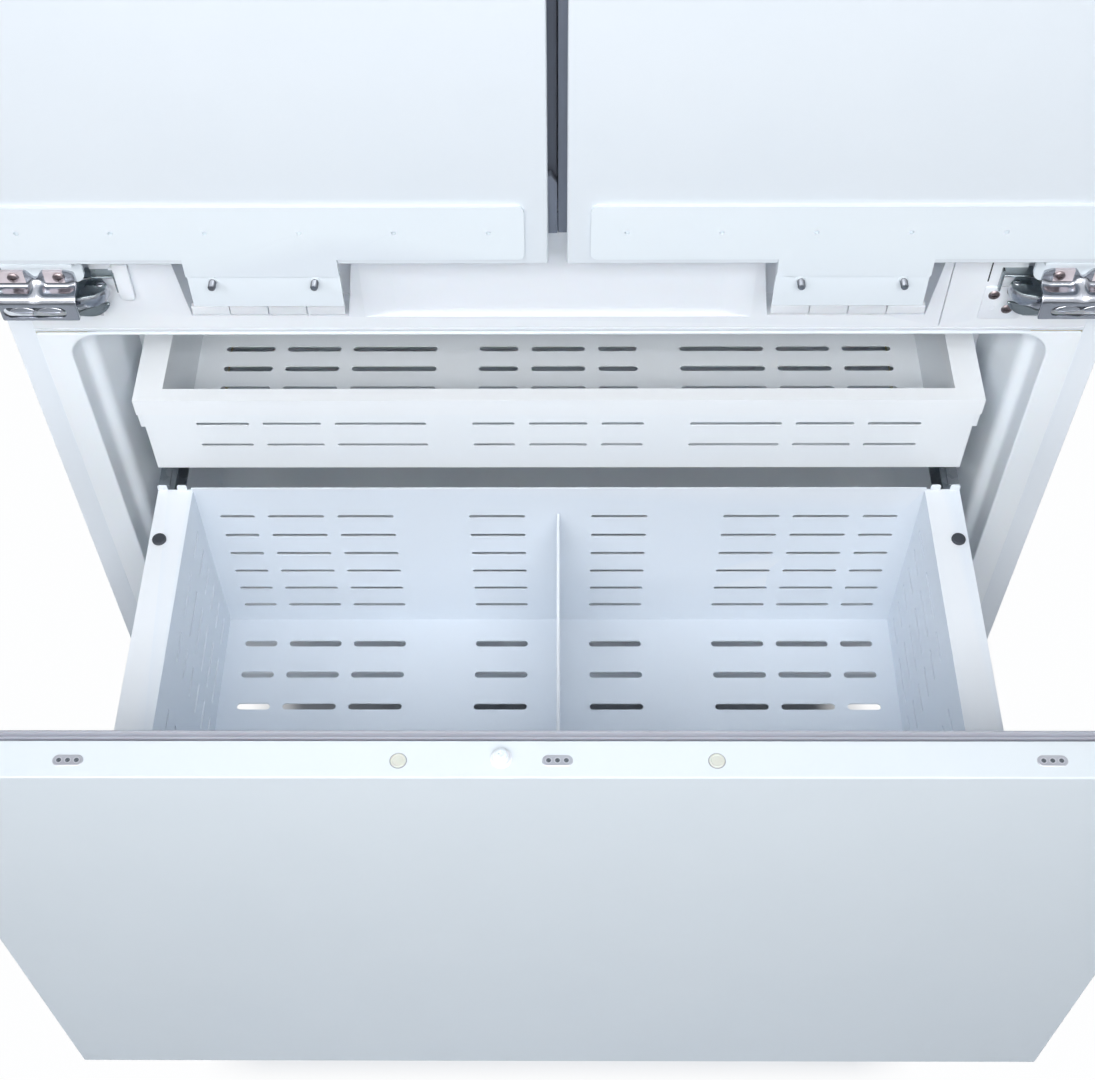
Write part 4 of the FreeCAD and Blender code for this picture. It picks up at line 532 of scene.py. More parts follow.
def add_threaded(shape: Shape, radius: float, pitch: float, span: Point, where: Matrix,
                 sides: int = 24, slot: int = 0) -> None:
    """Adds a threaded stem whose ridge climbs as a true helix, with a run-out at both ends.

    Args:
        shape: The shape that gets the stem.
        radius: Outer radius.
        pitch: Climb of the thread in one turn.
        span: Heights of both ends.
        where: Its frame, along Z.
        sides: Facets round it.
        slot: Material slot of its faces.
    """
    # A metric thread is about this deep for its pitch.
    depth = 0.54 * pitch
    steps_per_turn = 6
    count = max(2, round((span[1] - span[0]) / pitch * steps_per_turn))
    rings = []
    for step in range(count + 1):
        height = span[0] + (span[1] - span[0]) * step / count
        end_share = min(step, count - step) / steps_per_turn
        ring = []
        for index in range(sides):
            turn = (height / pitch - index / sides) % 1.0
            ridge = 1 - abs(2 * turn - 1)
            reach = radius - depth + depth * ridge * min(1.0, end_share)
            angle = FULL_TURN * index / sides
            ring.append(where @ (Vector((math.cos(angle) * reach, math.sin(angle) * reach, height)) * MM))
        rings.append(ring)
    add_rings(shape, rings, slot=slot)


def add_block(shape: Shape, low: Vector, high: Vector, radius: float, slot: int = 0,
              open_rear: bool = False) -> None:
    """Adds a block with rounded edges.

    Args:
        shape: The shape that gets the block.
        low: Its low corner, in metres.
        high: Its high corner, in metres.
        radius: Radius of its edges.
        slot: Material slot of its faces.
        open_rear: Whether its rear face is left out, as in a folded pan.
    """
    corners = [shape.verts.new((x, y, z)) for z in (low.z, high.z)
               for x, y in ((low.x, low.y), (high.x, low.y), (high.x, high.y), (low.x, high.y))]
    sides = [(0, 1, 5, 4), (1, 2, 6, 5), (3, 0, 4, 7), (3, 2, 1, 0), (4, 5, 6, 7)]
    if not open_rear:
        sides.append((2, 3, 7, 6))
    faces = [shape.faces.new([corners[index] for index in side]) for side in sides]
    for face in faces:
        face.material_index = slot
    edges = dict.fromkeys(edge for face in faces for edge in face.edges if len(edge.link_faces) == 2)
    bmesh.ops.bevel(shape, geom=list(edges), offset=radius * MM, segments=3, profile=0.5, affect="EDGES",
                    clamp_overlap=True, material=-1)


def add_plate(shape: Shape, outline: Sequence[Point], span: Point, spot: Spot, edge: float) -> None:
    """Adds a flat plate of any outline with eased edges.

    Args:
        shape: The shape that gets the plate.
        outline: Points round it.
        span: Where its two faces lie.
        spot: Gives the place of an outline's point and a depth, in metres.
        edge: Radius of its eased edges.
    """
    rows = [[shape.verts.new(spot(u, v, depth)) for u, v in outline] for depth in span]
    count = len(outline)
    faces = [shape.faces.new((rows[0][i], rows[0][(i + 1) % count], rows[1][(i + 1) % count], rows[1][i]))
             for i in range(count)]
    faces += [shape.faces.new(row) for row in rows]
    bmesh.ops.recalc_face_normals(shape, faces=faces)
    edges = dict.fromkeys(line for face in faces for line in face.edges
                          if line.calc_face_angle(0.0) > FOLD_ANGLE)
    bmesh.ops.bevel(shape, geom=list(edges), offset=edge * MM, segments=2, profile=0.5, affect="EDGES",
                    clamp_overlap=True, material=-1)


def rounded_outline(points: Sequence[Point], steps: int = 5) -> list[Point]:
    """Draws a smooth closed curve through points.

    Args:
        points: The points, in order.
        steps: Points of the curve from one to the next.

    Returns:
        The curve's points.
    """
    curve = []
    count = len(points)
    for index in range(count):
        p0, p1, p2, p3 = (points[(index + shift) % count] for shift in (-1, 0, 1, 2))
        for step in range(steps):
            t = step / steps
            weights = (-t + 2 * t ** 2 - t ** 3, 2 - 5 * t ** 2 + 3 * t ** 3,
                       t + 4 * t ** 2 - 3 * t ** 3, -t ** 2 + t ** 3)
            curve.append(tuple(sum(w * p[axis] for w, p in zip(weights, (p0, p1, p2, p3))) / 2
                               for axis in (0, 1)))
    return curve


def thicken(piece: bpy.types.Object, thickness: float, side: float) -> None:
    """Gives a sheet its thickness.

    Args:
        piece: The sheet's object.
        thickness: Its thickness.
        side: -1 to grow against the normals, 0 to both sides, 1 along them.
    """
    add_modifier(piece, "sheet", "SOLIDIFY", thickness=thickness * MM, offset=side)
    add_modifier(piece, "flat_faces", "WEIGHTED_NORMAL", keep_sharp=True)


def rounded_rectangle(half_width: float, half_height: float, radius: float, steps: int = 6) -> list[Point]:
    """Points round a rectangle with round corners.

    Args:
        half_width: Half of its width.
        half_height: Half of its height.
        radius: Its corners' radius.
        steps: Points in each corner, less one.

    Returns:
        The points, counter-clockwise.
    """
    points = []
    centres = ((1, 1), (-1, 1), (-1, -1), (1, -1))
    for quarter, (across, up) in enumerate(centres):
        for step in range(steps + 1):
            angle = math.pi / 2 * (quarter + step / steps)
            points.append((across * (half_width - radius) + radius * math.cos(angle),
                           up * (half_height - radius) + radius * math.sin(angle)))
    return points


def add_frame_seal(shape: Shape, centre: Vector, half_width: float, half_height: float,
                   profile: Sequence[Point], corner: float) -> None:
    """Adds a closed upright ring of one profile.

    Args:
        shape: The shape that gets the ring.
        centre: Middle of the ring's foot, in metres.
        half_width: Half of the ring's width.
        half_height: Half of its height.
        profile: Inset from the outer edge and depth along Y.
        corner: Corner radius at the outer edge.
    """
    rings = []
    for inset, depth in profile:
        points = rounded_rectangle(half_width - inset, half_height - inset, max(corner - inset, 1.0))
        rings.append([centre + Vector((x, depth, z)) * MM for x, z in points])
    add_rings(shape, rings, closed=True)


def add_cross_screw(shape: Shape, where: Matrix, recess: float = 3.0, slot: int = 0) -> None:
    """Adds a pan-headed screw with a tapered cross recess.

    Args:
        shape: The shape that gets the screw.
        where: Its frame: the seat at the origin and the head along Z.
        recess: Reach of the cross's arms from the middle.
        slot: Material slot of its faces.
    """
    radius, height = 4.6, 2.2
    sides = 48
    arm_share = 0.36
    rings = []
    for share in (0.0, 0.45, 0.75, 0.92, 1.0):
        reach = radius * (1.0 if share < 0.5 else math.sqrt(max(0.0, 1 - ((share - 0.45) / 0.62) ** 2)))
        rings.append([where @ (Vector((math.cos(FULL_TURN * i / sides) * reach,
                                       math.sin(FULL_TURN * i / sides) * reach, height * share)) * MM)
                      for i in range(sides)])
    for depth, shrink in ((0.0, 1.0), (0.55, 0.8), (0.6, 0.35)):
        ring = []
        for index in range(sides):
            angle = FULL_TURN * index / sides
            lobe = max(abs(math.cos(2 * angle)), 0.0) ** 3
            reach = recess * (arm_share + (1 - arm_share) * lobe) * shrink
            ring.append(where @ (Vector((math.cos(angle) * reach, math.sin(angle) * reach,
                                         height * (1 - depth))) * MM))
        rings.append(ring)
    add_rings(shape, rings, slot=slot)


# Sub-assemblies

@dataclass
class CabinetBody:
    """The cabinet's sheets, foam and liners, kept from the CAD with their edges rolled.

    Args:
        sheet_edge: Radius of a folded sheet's edge.
        liner_edge: Radius of a vacuum-formed edge.
    """

    sheet_edge: float = 0.5
    liner_edge: float = 0.9

    def build(self) -> None:
        """Finishes the cabinet's own pieces."""
        for name in ("cabinet_shell", "back_panel", "toe_grille"):
            finish_node(name, GALVANISED if name == "back_panel" else CABINET_STEEL, self.sheet_edge)
        finish_node("base_frame", GALVANISED, self.sheet_edge)
        finish_node("insulation_foam", BLOWN_FOAM, 0.0)
        FreezerLiner().build()
        for name in ("fridge_liner", "evaporator_cover", "air_duct_cover"):
            finish_node(name, LINER_PLASTIC, self.liner_edge)
        for name in ("crossbar_cover", "hinge_cover_right"):
            finish_node(name, MOULDED_ABS, self.sheet_edge, 3)
        # Blue-grey guide: painted shade of the gap between the doors.
        finish_node("bar_guide", GUIDE_PAINTED_GAP_SHADE, self.sheet_edge)
        finish_node("power_inlet", DARK_NYLON, self.sheet_edge)


@dataclass
class MachineRoom:
    """Compressor, coils and fans behind the base.

    Args:
        edge: Radius of their edges.
    """

    edge: float = 0.4

    def build(self) -> None:
        """Finishes the machinery."""
        finish_node("compressor", COMPRESSOR_ENAMEL, self.edge)
        for name in ("condenser", "evaporator"):
            finish_node(name, COIL_ALUMINIUM, 0.0)
        for name in ("condenser_fan", "evaporator_fan"):
            finish_node(name, FAN_POLYPROPYLENE, self.edge)


@dataclass
class FridgeInterior:
    """Shelves, crispers, control housing and the doors' bins.

    Args:
        glass_edge: Radius of the ground glass edges.
        plastic_edge: Radius of the clear mouldings' edges.
    """

    glass_edge: float = 1.2
    plastic_edge: float = 0.8

    def build(self) -> None:
        """Finishes what stands inside the fridge."""
        finish_node("fridge_shelves", SHELF_GLASS, self.glass_edge)
        for name in ("crispers", "left_door_bins", "right_door_bins"):
            finish_node(name, CLEAR_STYRENE, self.plastic_edge)
        finish_node("control_panel", MOULDED_ABS, self.plastic_edge, 3)


@dataclass
class Slides:
    """Rails of the freezer drawer and runners of the upper tray.

    Args:
        edge: Radius of the roll-formed edges.
    """

    edge: float = 0.4

    def build(self) -> None:
        """Finishes the rails."""
        for name in ("slide_outer", "slide_middle", "slide_inner"):
            finish_node(name, GALVANISED, self.edge)
        finish_node("tray_runners", LINER_PLASTIC, self.edge)


@dataclass
class FreezerBasket:
    """The drawer's folded basket with its divider and buttons, and the upper tray.

    Args:
        edge: Radius of the powder-filled edges.
        bumper_radius: Radius of a rubber button.
        bumper_height: Its height.
    """

    edge: float = 0.12
    bumper_radius: float = 6.3
    bumper_height: float = 3.0

    def build(self) -> None:
        """Finishes the sheets and makes the rubber buttons."""
        # Basket and divider get the epoxy coat's greyer copy: painted shade.
        finish_node("freezer_basket", BASKET_SHEET_PAINTED_SHADE, self.edge)
        finish_node("freezer_tray", COATED_SHEET, self.edge)
        finish_node("basket_divider", BASKET_SHEET_PAINTED_SHADE, 0.0)
        self.bumpers()

    def bumpers(self) -> None:
        """Makes both rubber buttons with their shallow dished tops."""
        low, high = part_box("basket_bumpers")
        shape = bmesh.new()
        r, h = self.bumper_radius, self.bumper_height
        profile = ((r * 0.96, 0), (r, h * 0.12), (r, h * 0.55), (r * 0.95, h * 0.82), (r * 0.84, h * 0.96),
                   (r * 0.72, h), (r * 0.5, h * 0.88), (r * 0.1, h * 0.84))
        for x in (low.x + r * MM, high.x - r * MM):
            spot = Vector((x, (low.y + high.y) / 2, low.z))
            add_turned(shape, profile, place_on(spot, UP))
        make_piece("rubber_buttons", mesh_of(shape), "freezer_drawer", [RUBBER],
                   ["basket_bumpers"], smooth_angle=50)


@dataclass
class DoorSeal:
    """A magnetic door seal: a dart-held foot, a bellows and a flat magnet lip.

    Args:
        width: The foot's width.
        corner: Radius of its outer corner.
    """

    width: float = 12.0
    corner: float = 6.0

    def build(self, name: str, node: str, body: str) -> None:
        """Makes one door's seal.

        Args:
            name: The piece's name.
            node: The CAD seal that it stands for.
            body: The body that it rides on.
        """
        low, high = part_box(node)
        w, d = self.width, (high.y - low.y) / MM
        profile = ((0.3, 0), (0, d * 0.06), (0, d * 0.20), (0.9, d * 0.27), (2.2, d * 0.31), (2.2, d * 0.36),
                   (0.7, d * 0.42), (0.5, d * 0.50), (0.7, d * 0.58), (2.2, d * 0.64), (2.2, d * 0.69),
                   (0.9, d * 0.73), (0, d * 0.80), (0, d * 0.94), (0.6, d), (w * 0.5, d), (w - 0.6, d),
                   (w, d * 0.94), (w, d * 0.80), (w - 1.6, d * 0.70), (w - 1.6, d * 0.34), (w, d * 0.22),
                   (w, d * 0.05), (w - 0.3, 0))
        centre = Vector(((low.x + high.x) / 2, low.y, (low.z + high.z) / 2))
        shape = bmesh.new()
        add_frame_seal(shape, centre, (high.x - low.x) / 2 / MM, (high.z - low.z) / 2 / MM, profile, self.corner)
        make_piece(name, mesh_of(shape), body, [SEAL_VINYL], [node], smooth_angle=40)


@dataclass
class FoldedSkin:
    """A door's outer sheet, folded back round all four edges.

    Args:
        bend: Outer radius of its folds.
        sheet: The sheet's thickness.
        finish: Its finish.
    """

    bend: float = 1.6
    sheet: float = 1.2
    finish: Finish = DOOR_STEEL

    def build(self, node: str, body: str) -> None:
        """Makes one door's skin.

        Args:
            node: The CAD skin that it stands for.
            body: The body that it rides on.
        """
        low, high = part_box(node)
        shape = bmesh.new()
        add_block(shape, low, high, self.bend, open_rear=True)
        piece = make_piece(node + "_folded", mesh_of(shape), body, [self.finish], [node])
        thicken(piece, self.sheet, -1.0)


@dataclass
class FreezerLiner:
    """The freezer's vacuum-formed box: a flange, soft steps, the machine hump and its air grille.

    Args:
        half_width: Half of the opening's width.
        floor: Height of the opening's lower edge.
        corner: Radius of the opening's corners.
        wall: The sheet's thickness.
        profile: How far the wall has moved inward and at which depth.
        hump: Front and top of the machine hump.
        grille_half: Half of the air grille's width.
        grille_z: Its lower and upper edge.
        grille_rise: How far the grille's dark back stands out.
        bar_pitch: From bar to bar of the grille.
        bar_half: Half of a bar's width.
        bar_rise: How far a bar's rear and front stand out.
        flange_corner: Radius of the flange's outer corners.
        hump_edge: Radius of the hump's edges.
        grille_edge: Radius of the grille's edges.
    """

    half_width: float = 407.0
    floor: float = 140.0
    corner: float = 27.0
    wall: float = 2.0
    profile: tuple[Point, ...] = (
        (-1.8, 0.0), (-1.1, 0.1), (-0.5, 0.4), (-0.1, 1.0), (0.0, 1.9), (0.6, 6.0), (1.4, 12.0),
        (2.0, 15.6), (2.7, 18.0), (4.0, 20.0), (6.2, 21.6), (8.4, 23.2), (10.4, 25.2), (11.9, 28.0),
        (12.8, 32.0), (13.6, 38.0), (15.6, 50.0), (17.8, 61.0), (18.8, 68.0), (19.0, 76.0))
    hump: Point = (330.0, 235.0)
    grille_half: float = 205.0
    grille_z: Point = (162.0, 197.0)
    grille_rise: float = 1.0
    bar_pitch: float = 22.0
    bar_half: float = 1.3
    bar_rise: Point = (0.6, 4.0)
    flange_corner: float = 0.6
    hump_edge: float = 6.0
    grille_edge: float = 0.5

    def build(self) -> None:
        """Makes the liner, whose wall grows away from the room inside it, and its grille."""
        low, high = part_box("freezer_liner")
        front = low.y
        rear = (high.y - low.y) / MM - self.wall
        ceiling = high.z / MM - self.wall
        shape = bmesh.new()
        flange = rounded_rectangle((high.x - low.x) / 2 / MM, (high.z - low.z) / 2 / MM, self.flange_corner)
        middle_z = (high.z + low.z) / 2 / MM
        rings = [[Vector((x * MM, front, (middle_z + z) * MM)) for x, z in flange]]
        for inset, depth in (*self.profile, (self.profile[-1][0], rear)):
            rings.append(self.section(ceiling, inset, front, depth))
        add_rings(shape, rings, caps=(False, True))
        piece = make_piece("freezer_liner_formed", mesh_of(shape), "cabinet", [LINER_PLASTIC],
                           ["freezer_liner"], smooth_angle=60)
        thicken(piece, self.wall, 1.0)
        side = self.half_width - self.profile[-1][0]
        hump = bmesh.new()
        add_block(hump, Vector((-side * MM, front + self.hump[0] * MM, (self.floor + self.wall) * MM)),
                  Vector((side * MM, front + (rear + self.wall) * MM, self.hump[1] * MM)), self.hump_edge)
        make_piece("freezer_liner_hump", mesh_of(hump), "cabinet", [LINER_PLASTIC],
                   ["freezer_liner"])
        self.grille(front + self.hump[0] * MM)

    def section(self, ceiling: float, inset: float, front: float, depth: float) -> list[Vector]:
        """Points round the opening at one depth.

        Args:
            ceiling: Height of the opening's upper edge.
            inset: How far the wall has moved inward.
            front: Y of the flange's front, in metres.
            depth: Depth behind the flange's front.

        Returns:
            The points, in metres.
        """
        middle, half_height = (ceiling + self.floor) / 2, (ceiling - self.floor) / 2
        points = rounded_rectangle(self.half_width - inset, half_height - inset, self.corner)
        return [Vector((x * MM, front + depth * MM, (middle + z) * MM)) for x, z in points]

    def grille(self, front: float) -> None:
        """Makes the return-air grille on the hump's front, its back painted near black as shadow.

        Args:
            front: Y of the hump's front, in metres.
        """
        shape = bmesh.new()
        low, high = self.grille_z
        reach = self.grille_half
        rise, (bar_rear, bar_front) = self.grille_rise, self.bar_rise
        # The grille's back block is painted shadow: near black behind the bars.
        add_block(shape, Vector((-reach * MM, front - rise * MM, low * MM)),
                  Vector((reach * MM, front + rise * MM, high * MM)), self.grille_edge)
        count = int(reach / self.bar_pitch)
        for index in range(-count, count + 1):
            x = index * self.bar_pitch
            add_block(shape, Vector(((x - self.bar_half) * MM, front - bar_front * MM, low * MM)),
                      Vector(((x + self.bar_half) * MM, front - bar_rear * MM, high * MM)),
                      self.grille_edge, slot=1)
        make_piece("return_air_grille", mesh_of(shape), "cabinet", [SHADOW_NYLON, LINER_PLASTIC],
                   ["freezer_liner"])


@dataclass
class EdgeFixings:
    """On the freezer door's top edge: adjuster plates, plugs and a white stand-off.

    Args:
        plate_x: Places of the adjuster plates across.
        plate_length: Their length.
        plate_width: Their width.
        plate_height: Their thickness.
        hole_radius: Radius of each plate's three holes.
        hole_pitch: From hole to hole.
        inset: From the door's front to the plates' middle.
        plug_x: Place of the plugs to either side of the middle.
        plug_radius: Their radius.
        plug_shadow_width: Width of the dark ring round each plug, painted shadow of the gap at its edge.
        standoff: Place of the stand-off across and behind the front.
        standoff_radius: Its radius.
        standoff_height: Its height.
        foot_radius: Radius of the disc that it stands on.
        screw_recess: Reach of its screw's cross.
    """

    plate_x: tuple[float, ...] = (-331.0, 0.0, 333.0)
    plate_length: float = 20.8
    plate_width: float = 8.2
    plate_height: float = 1.0
    hole_radius: float = 1.7
    hole_pitch: float = 6.0
    inset: float = 13.0
    plug_x: float = 107.5
    plug_radius: float = 5.3
    plug_shadow_width: float = 0.7
    standoff: Point = (-38.0, 14.5)
    standoff_radius: float = 6.0
    standoff_height: float = 5.0
    foot_radius: float = 7.5
    screw_recess: float = 3.2

    def build(self) -> None:
        """Makes the plates, the plugs and the stand-off with its screw."""
        low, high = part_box("freezer_door_skin")
        front, top = low.y, high.z
        plates = bmesh.new()
        for x in self.plate_x:
            self.add_plate(plates, Vector((x * MM, front + self.inset * MM, top)))
        make_piece("adjuster_plates", mesh_of(plates), "freezer_drawer", [ZINC_PLATE, DARK_NYLON],
                   ["freezer_door_fixings"])
        plugs = bmesh.new()
        r = self.plug_radius
        profile = ((r, 0), (r, 0.7), (r * 0.94, 1.05), (r * 0.82, 1.2), (r * 0.78, 1.1), (r * 0.72, 0.85),
                   (r * 0.3, 0.9), (r * 0.04, 0.9))
        # The dark ring round each plug is painted shadow of the gap at the hole's edge.
        rim = ((r + self.plug_shadow_width, -0.1), (r + self.plug_shadow_width, 0.06), (r - 0.1, 0.08), (r - 0.1, -0.1))
        for x in (-self.plug_x, self.plug_x):
            where = place_on(Vector((x * MM, front + self.inset * MM, top)), UP)
            add_turned(plugs, profile, where)
            add_turned(plugs, rim, where, slot=1)
        make_piece("hole_plugs", mesh_of(plugs), "freezer_drawer", [CREAM_NYLON, FIXING_ZINC_PAINTED_SHADE])
        post = bmesh.new()
        x, inset = self.standoff
        spot = Vector((x * MM, front + inset * MM, top))
        r, h = self.standoff_radius, self.standoff_height
        foot = self.foot_radius
        add_turned(post, ((foot, 0), (foot, 0.8), (foot - 0.5, 1.2), (r + 0.4, 1.25), (r, 1.6), (r, h * 0.75),
                          (r * 0.96, h * 0.92), (r * 0.88, h), (r * 0.1, h)), place_on(spot, UP), 48)
        add_cross_screw(post, place_on(spot + UP * h * MM, UP), self.screw_recess, slot=1)
        make_piece("standoff_post", mesh_of(post), "freezer_drawer", [MOULDED_ABS, BRACKET_STEEL])

    def add_plate(self, shape: Shape, middle: Vector) -> None:
        """Adds one adjuster plate with its three eyelets, whose holes are painted dark as shade.

        Args:
            shape: The shape that gets the plate.
            middle: Middle of its seat, in metres.
        """
        h = self.plate_height
        rings = []
        for shrink, height in ((0.2, 0), (0, h * 0.2), (0, h * 0.7), (0.25, h * 0.95), (0.7, h), (1.0, h * 0.9)):
            points = rounded_rectangle(self.plate_length / 2 - shrink, self.plate_width / 2 - shrink,
                                       self.plate_width / 2 - shrink - 0.05, 8)
            rings.append([middle + Vector((x, y, height)) * MM for x, y in points])
        add_rings(shape, rings)
        for side in (-1, 0, 1):
            spot = middle + Vector((side * self.hole_pitch, 0, h * 0.85)) * MM
            r = self.hole_radius
            collar = ((r * 1.35, 0), (r * 1.35, 0.12), (r * 1.15, 0.15), (r, 0.05), (r * 0.9, 0.02))
            add_turned(shape, collar, place_on(spot, UP), 20)
            # Each hole is a shallow dark disc: painted shade.
            hole_shade = ((r * 0.95, 0.0), (r * 0.93, 0.09), (r * 0.1, 0.08))
            add_turned(shape, hole_shade, place_on(spot, UP), 20, slot=1)


@dataclass
class StudBracket:
    """The white angle under a fridge door with its two threaded studs.

    Args:
        thickness: The sheet's thickness.
        bend: Outer radius of its bend.
        sheared_edge: How far its sheared edges are eased.
        stud_radius: Radius of a stud.
        stud_pitch: Climb of its thread.
        stud_length: How far it stands out.
        stud_thread: Where its thread starts, and how far before its tip it ends.
        stud_drop: Its middle below the door's edge.
        stud_inset: Its middle from the bracket's end.
    """

    thickness: float = 2.5
    bend: float = 3.2
    sheared_edge: float = 0.5
    stud_radius: float = 3.0
    stud_pitch: float = 1.0
    stud_length: float = 9.3
    stud_thread: Point = (1.2, 0.3)
    stud_drop: float = 16.5
    stud_inset: float = 19.3

    def build(self, side: str) -> None:
        """Makes a door's lower and upper bracket.

        Args:
            side: "left" or "right".
        """
        node = side + "_door_stud_bracket"
        low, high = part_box(node)
        door_low, door_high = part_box(side + "_door_skin")
        plate_front = low.y + self.stud_length * MM
        shape = bmesh.new()
        drop = door_low.z - low.z
        for edge_z, way in ((door_low.z, -1), (door_high.z, 1)):
            self.add_angle(shape, (low.x, high.x), (plate_front, high.y), edge_z, way * drop)
            for x in (low.x + self.stud_inset * MM, high.x - self.stud_inset * MM):
                spot = Vector((x, plate_front, edge_z + way * self.stud_drop * MM))
                where = place_on(spot, FORWARD)
                r, (start, short) = self.stud_radius, self.stud_thread
                add_threaded(shape, r, self.stud_pitch, (start, self.stud_length - short), where, slot=1)
                add_turned(shape, ((r * 1.3, -0.1), (r * 1.25, 0.5), (r * 0.82, 1.3)), where, 32, slot=0)
        # The threaded studs take the darker zinc copy: painted shade.
        make_piece(node + "_dressed", mesh_of(shape), side + "_door", [BRACKET_STEEL, FIXING_ZINC_PAINTED_SHADE],
                   [node])

    def add_angle(self, shape: Shape, x: Point, y: Point, edge_z: float, drop: float) -> None:
        """Adds the bent sheet as one profile drawn along X.

        Args:
            shape: The shape that gets the sheet.
            x: Both ends, in metres.
            y: Its front and rear, in metres.
            edge_z: Height of the door's edge, in metres.
            drop: How far it hangs from that edge, in metres.
        """
        t, way = self.thickness * MM, math.copysign(1.0, drop)
        outer, inner = self.bend * MM, max(self.bend - self.thickness, 0.4) * MM
        steps = 5
        outline = [(y[1], edge_z)]
        for step in range(steps + 1):
            angle = math.pi / 2 * step / steps
            outline.append((y[0] + outer - outer * math.sin(angle),
                            edge_z + way * (outer - outer * math.cos(angle))))
        soft = self.sheared_edge * MM
        outline += [(y[0], edge_z + drop - way * soft), (y[0] + soft, edge_z + drop),
                    (y[0] + t - soft, edge_z + drop), (y[0] + t, edge_z + drop - way * soft)]
        for step in range(steps + 1):
            angle = math.pi / 2 * (1 - step / steps)
            outline.append((y[0] + t + inner - inner * math.sin(angle),
                            edge_z + way * (t + inner - inner * math.cos(angle))))
        outline.append((y[1], edge_z + way * t))
        rings = []
        for place, shrink in ((x[0], 1), (x[0] + soft, 0), (x[1] - soft, 0), (x[1], 1)):
            ring = []
            for py, pz in outline:
                middle_z = edge_z + drop / 2
                ring.append(Vector((place, py, pz + (middle_z - pz) * shrink * soft / abs(drop))))
            rings.append(ring)
        add_rings(shape, rings)


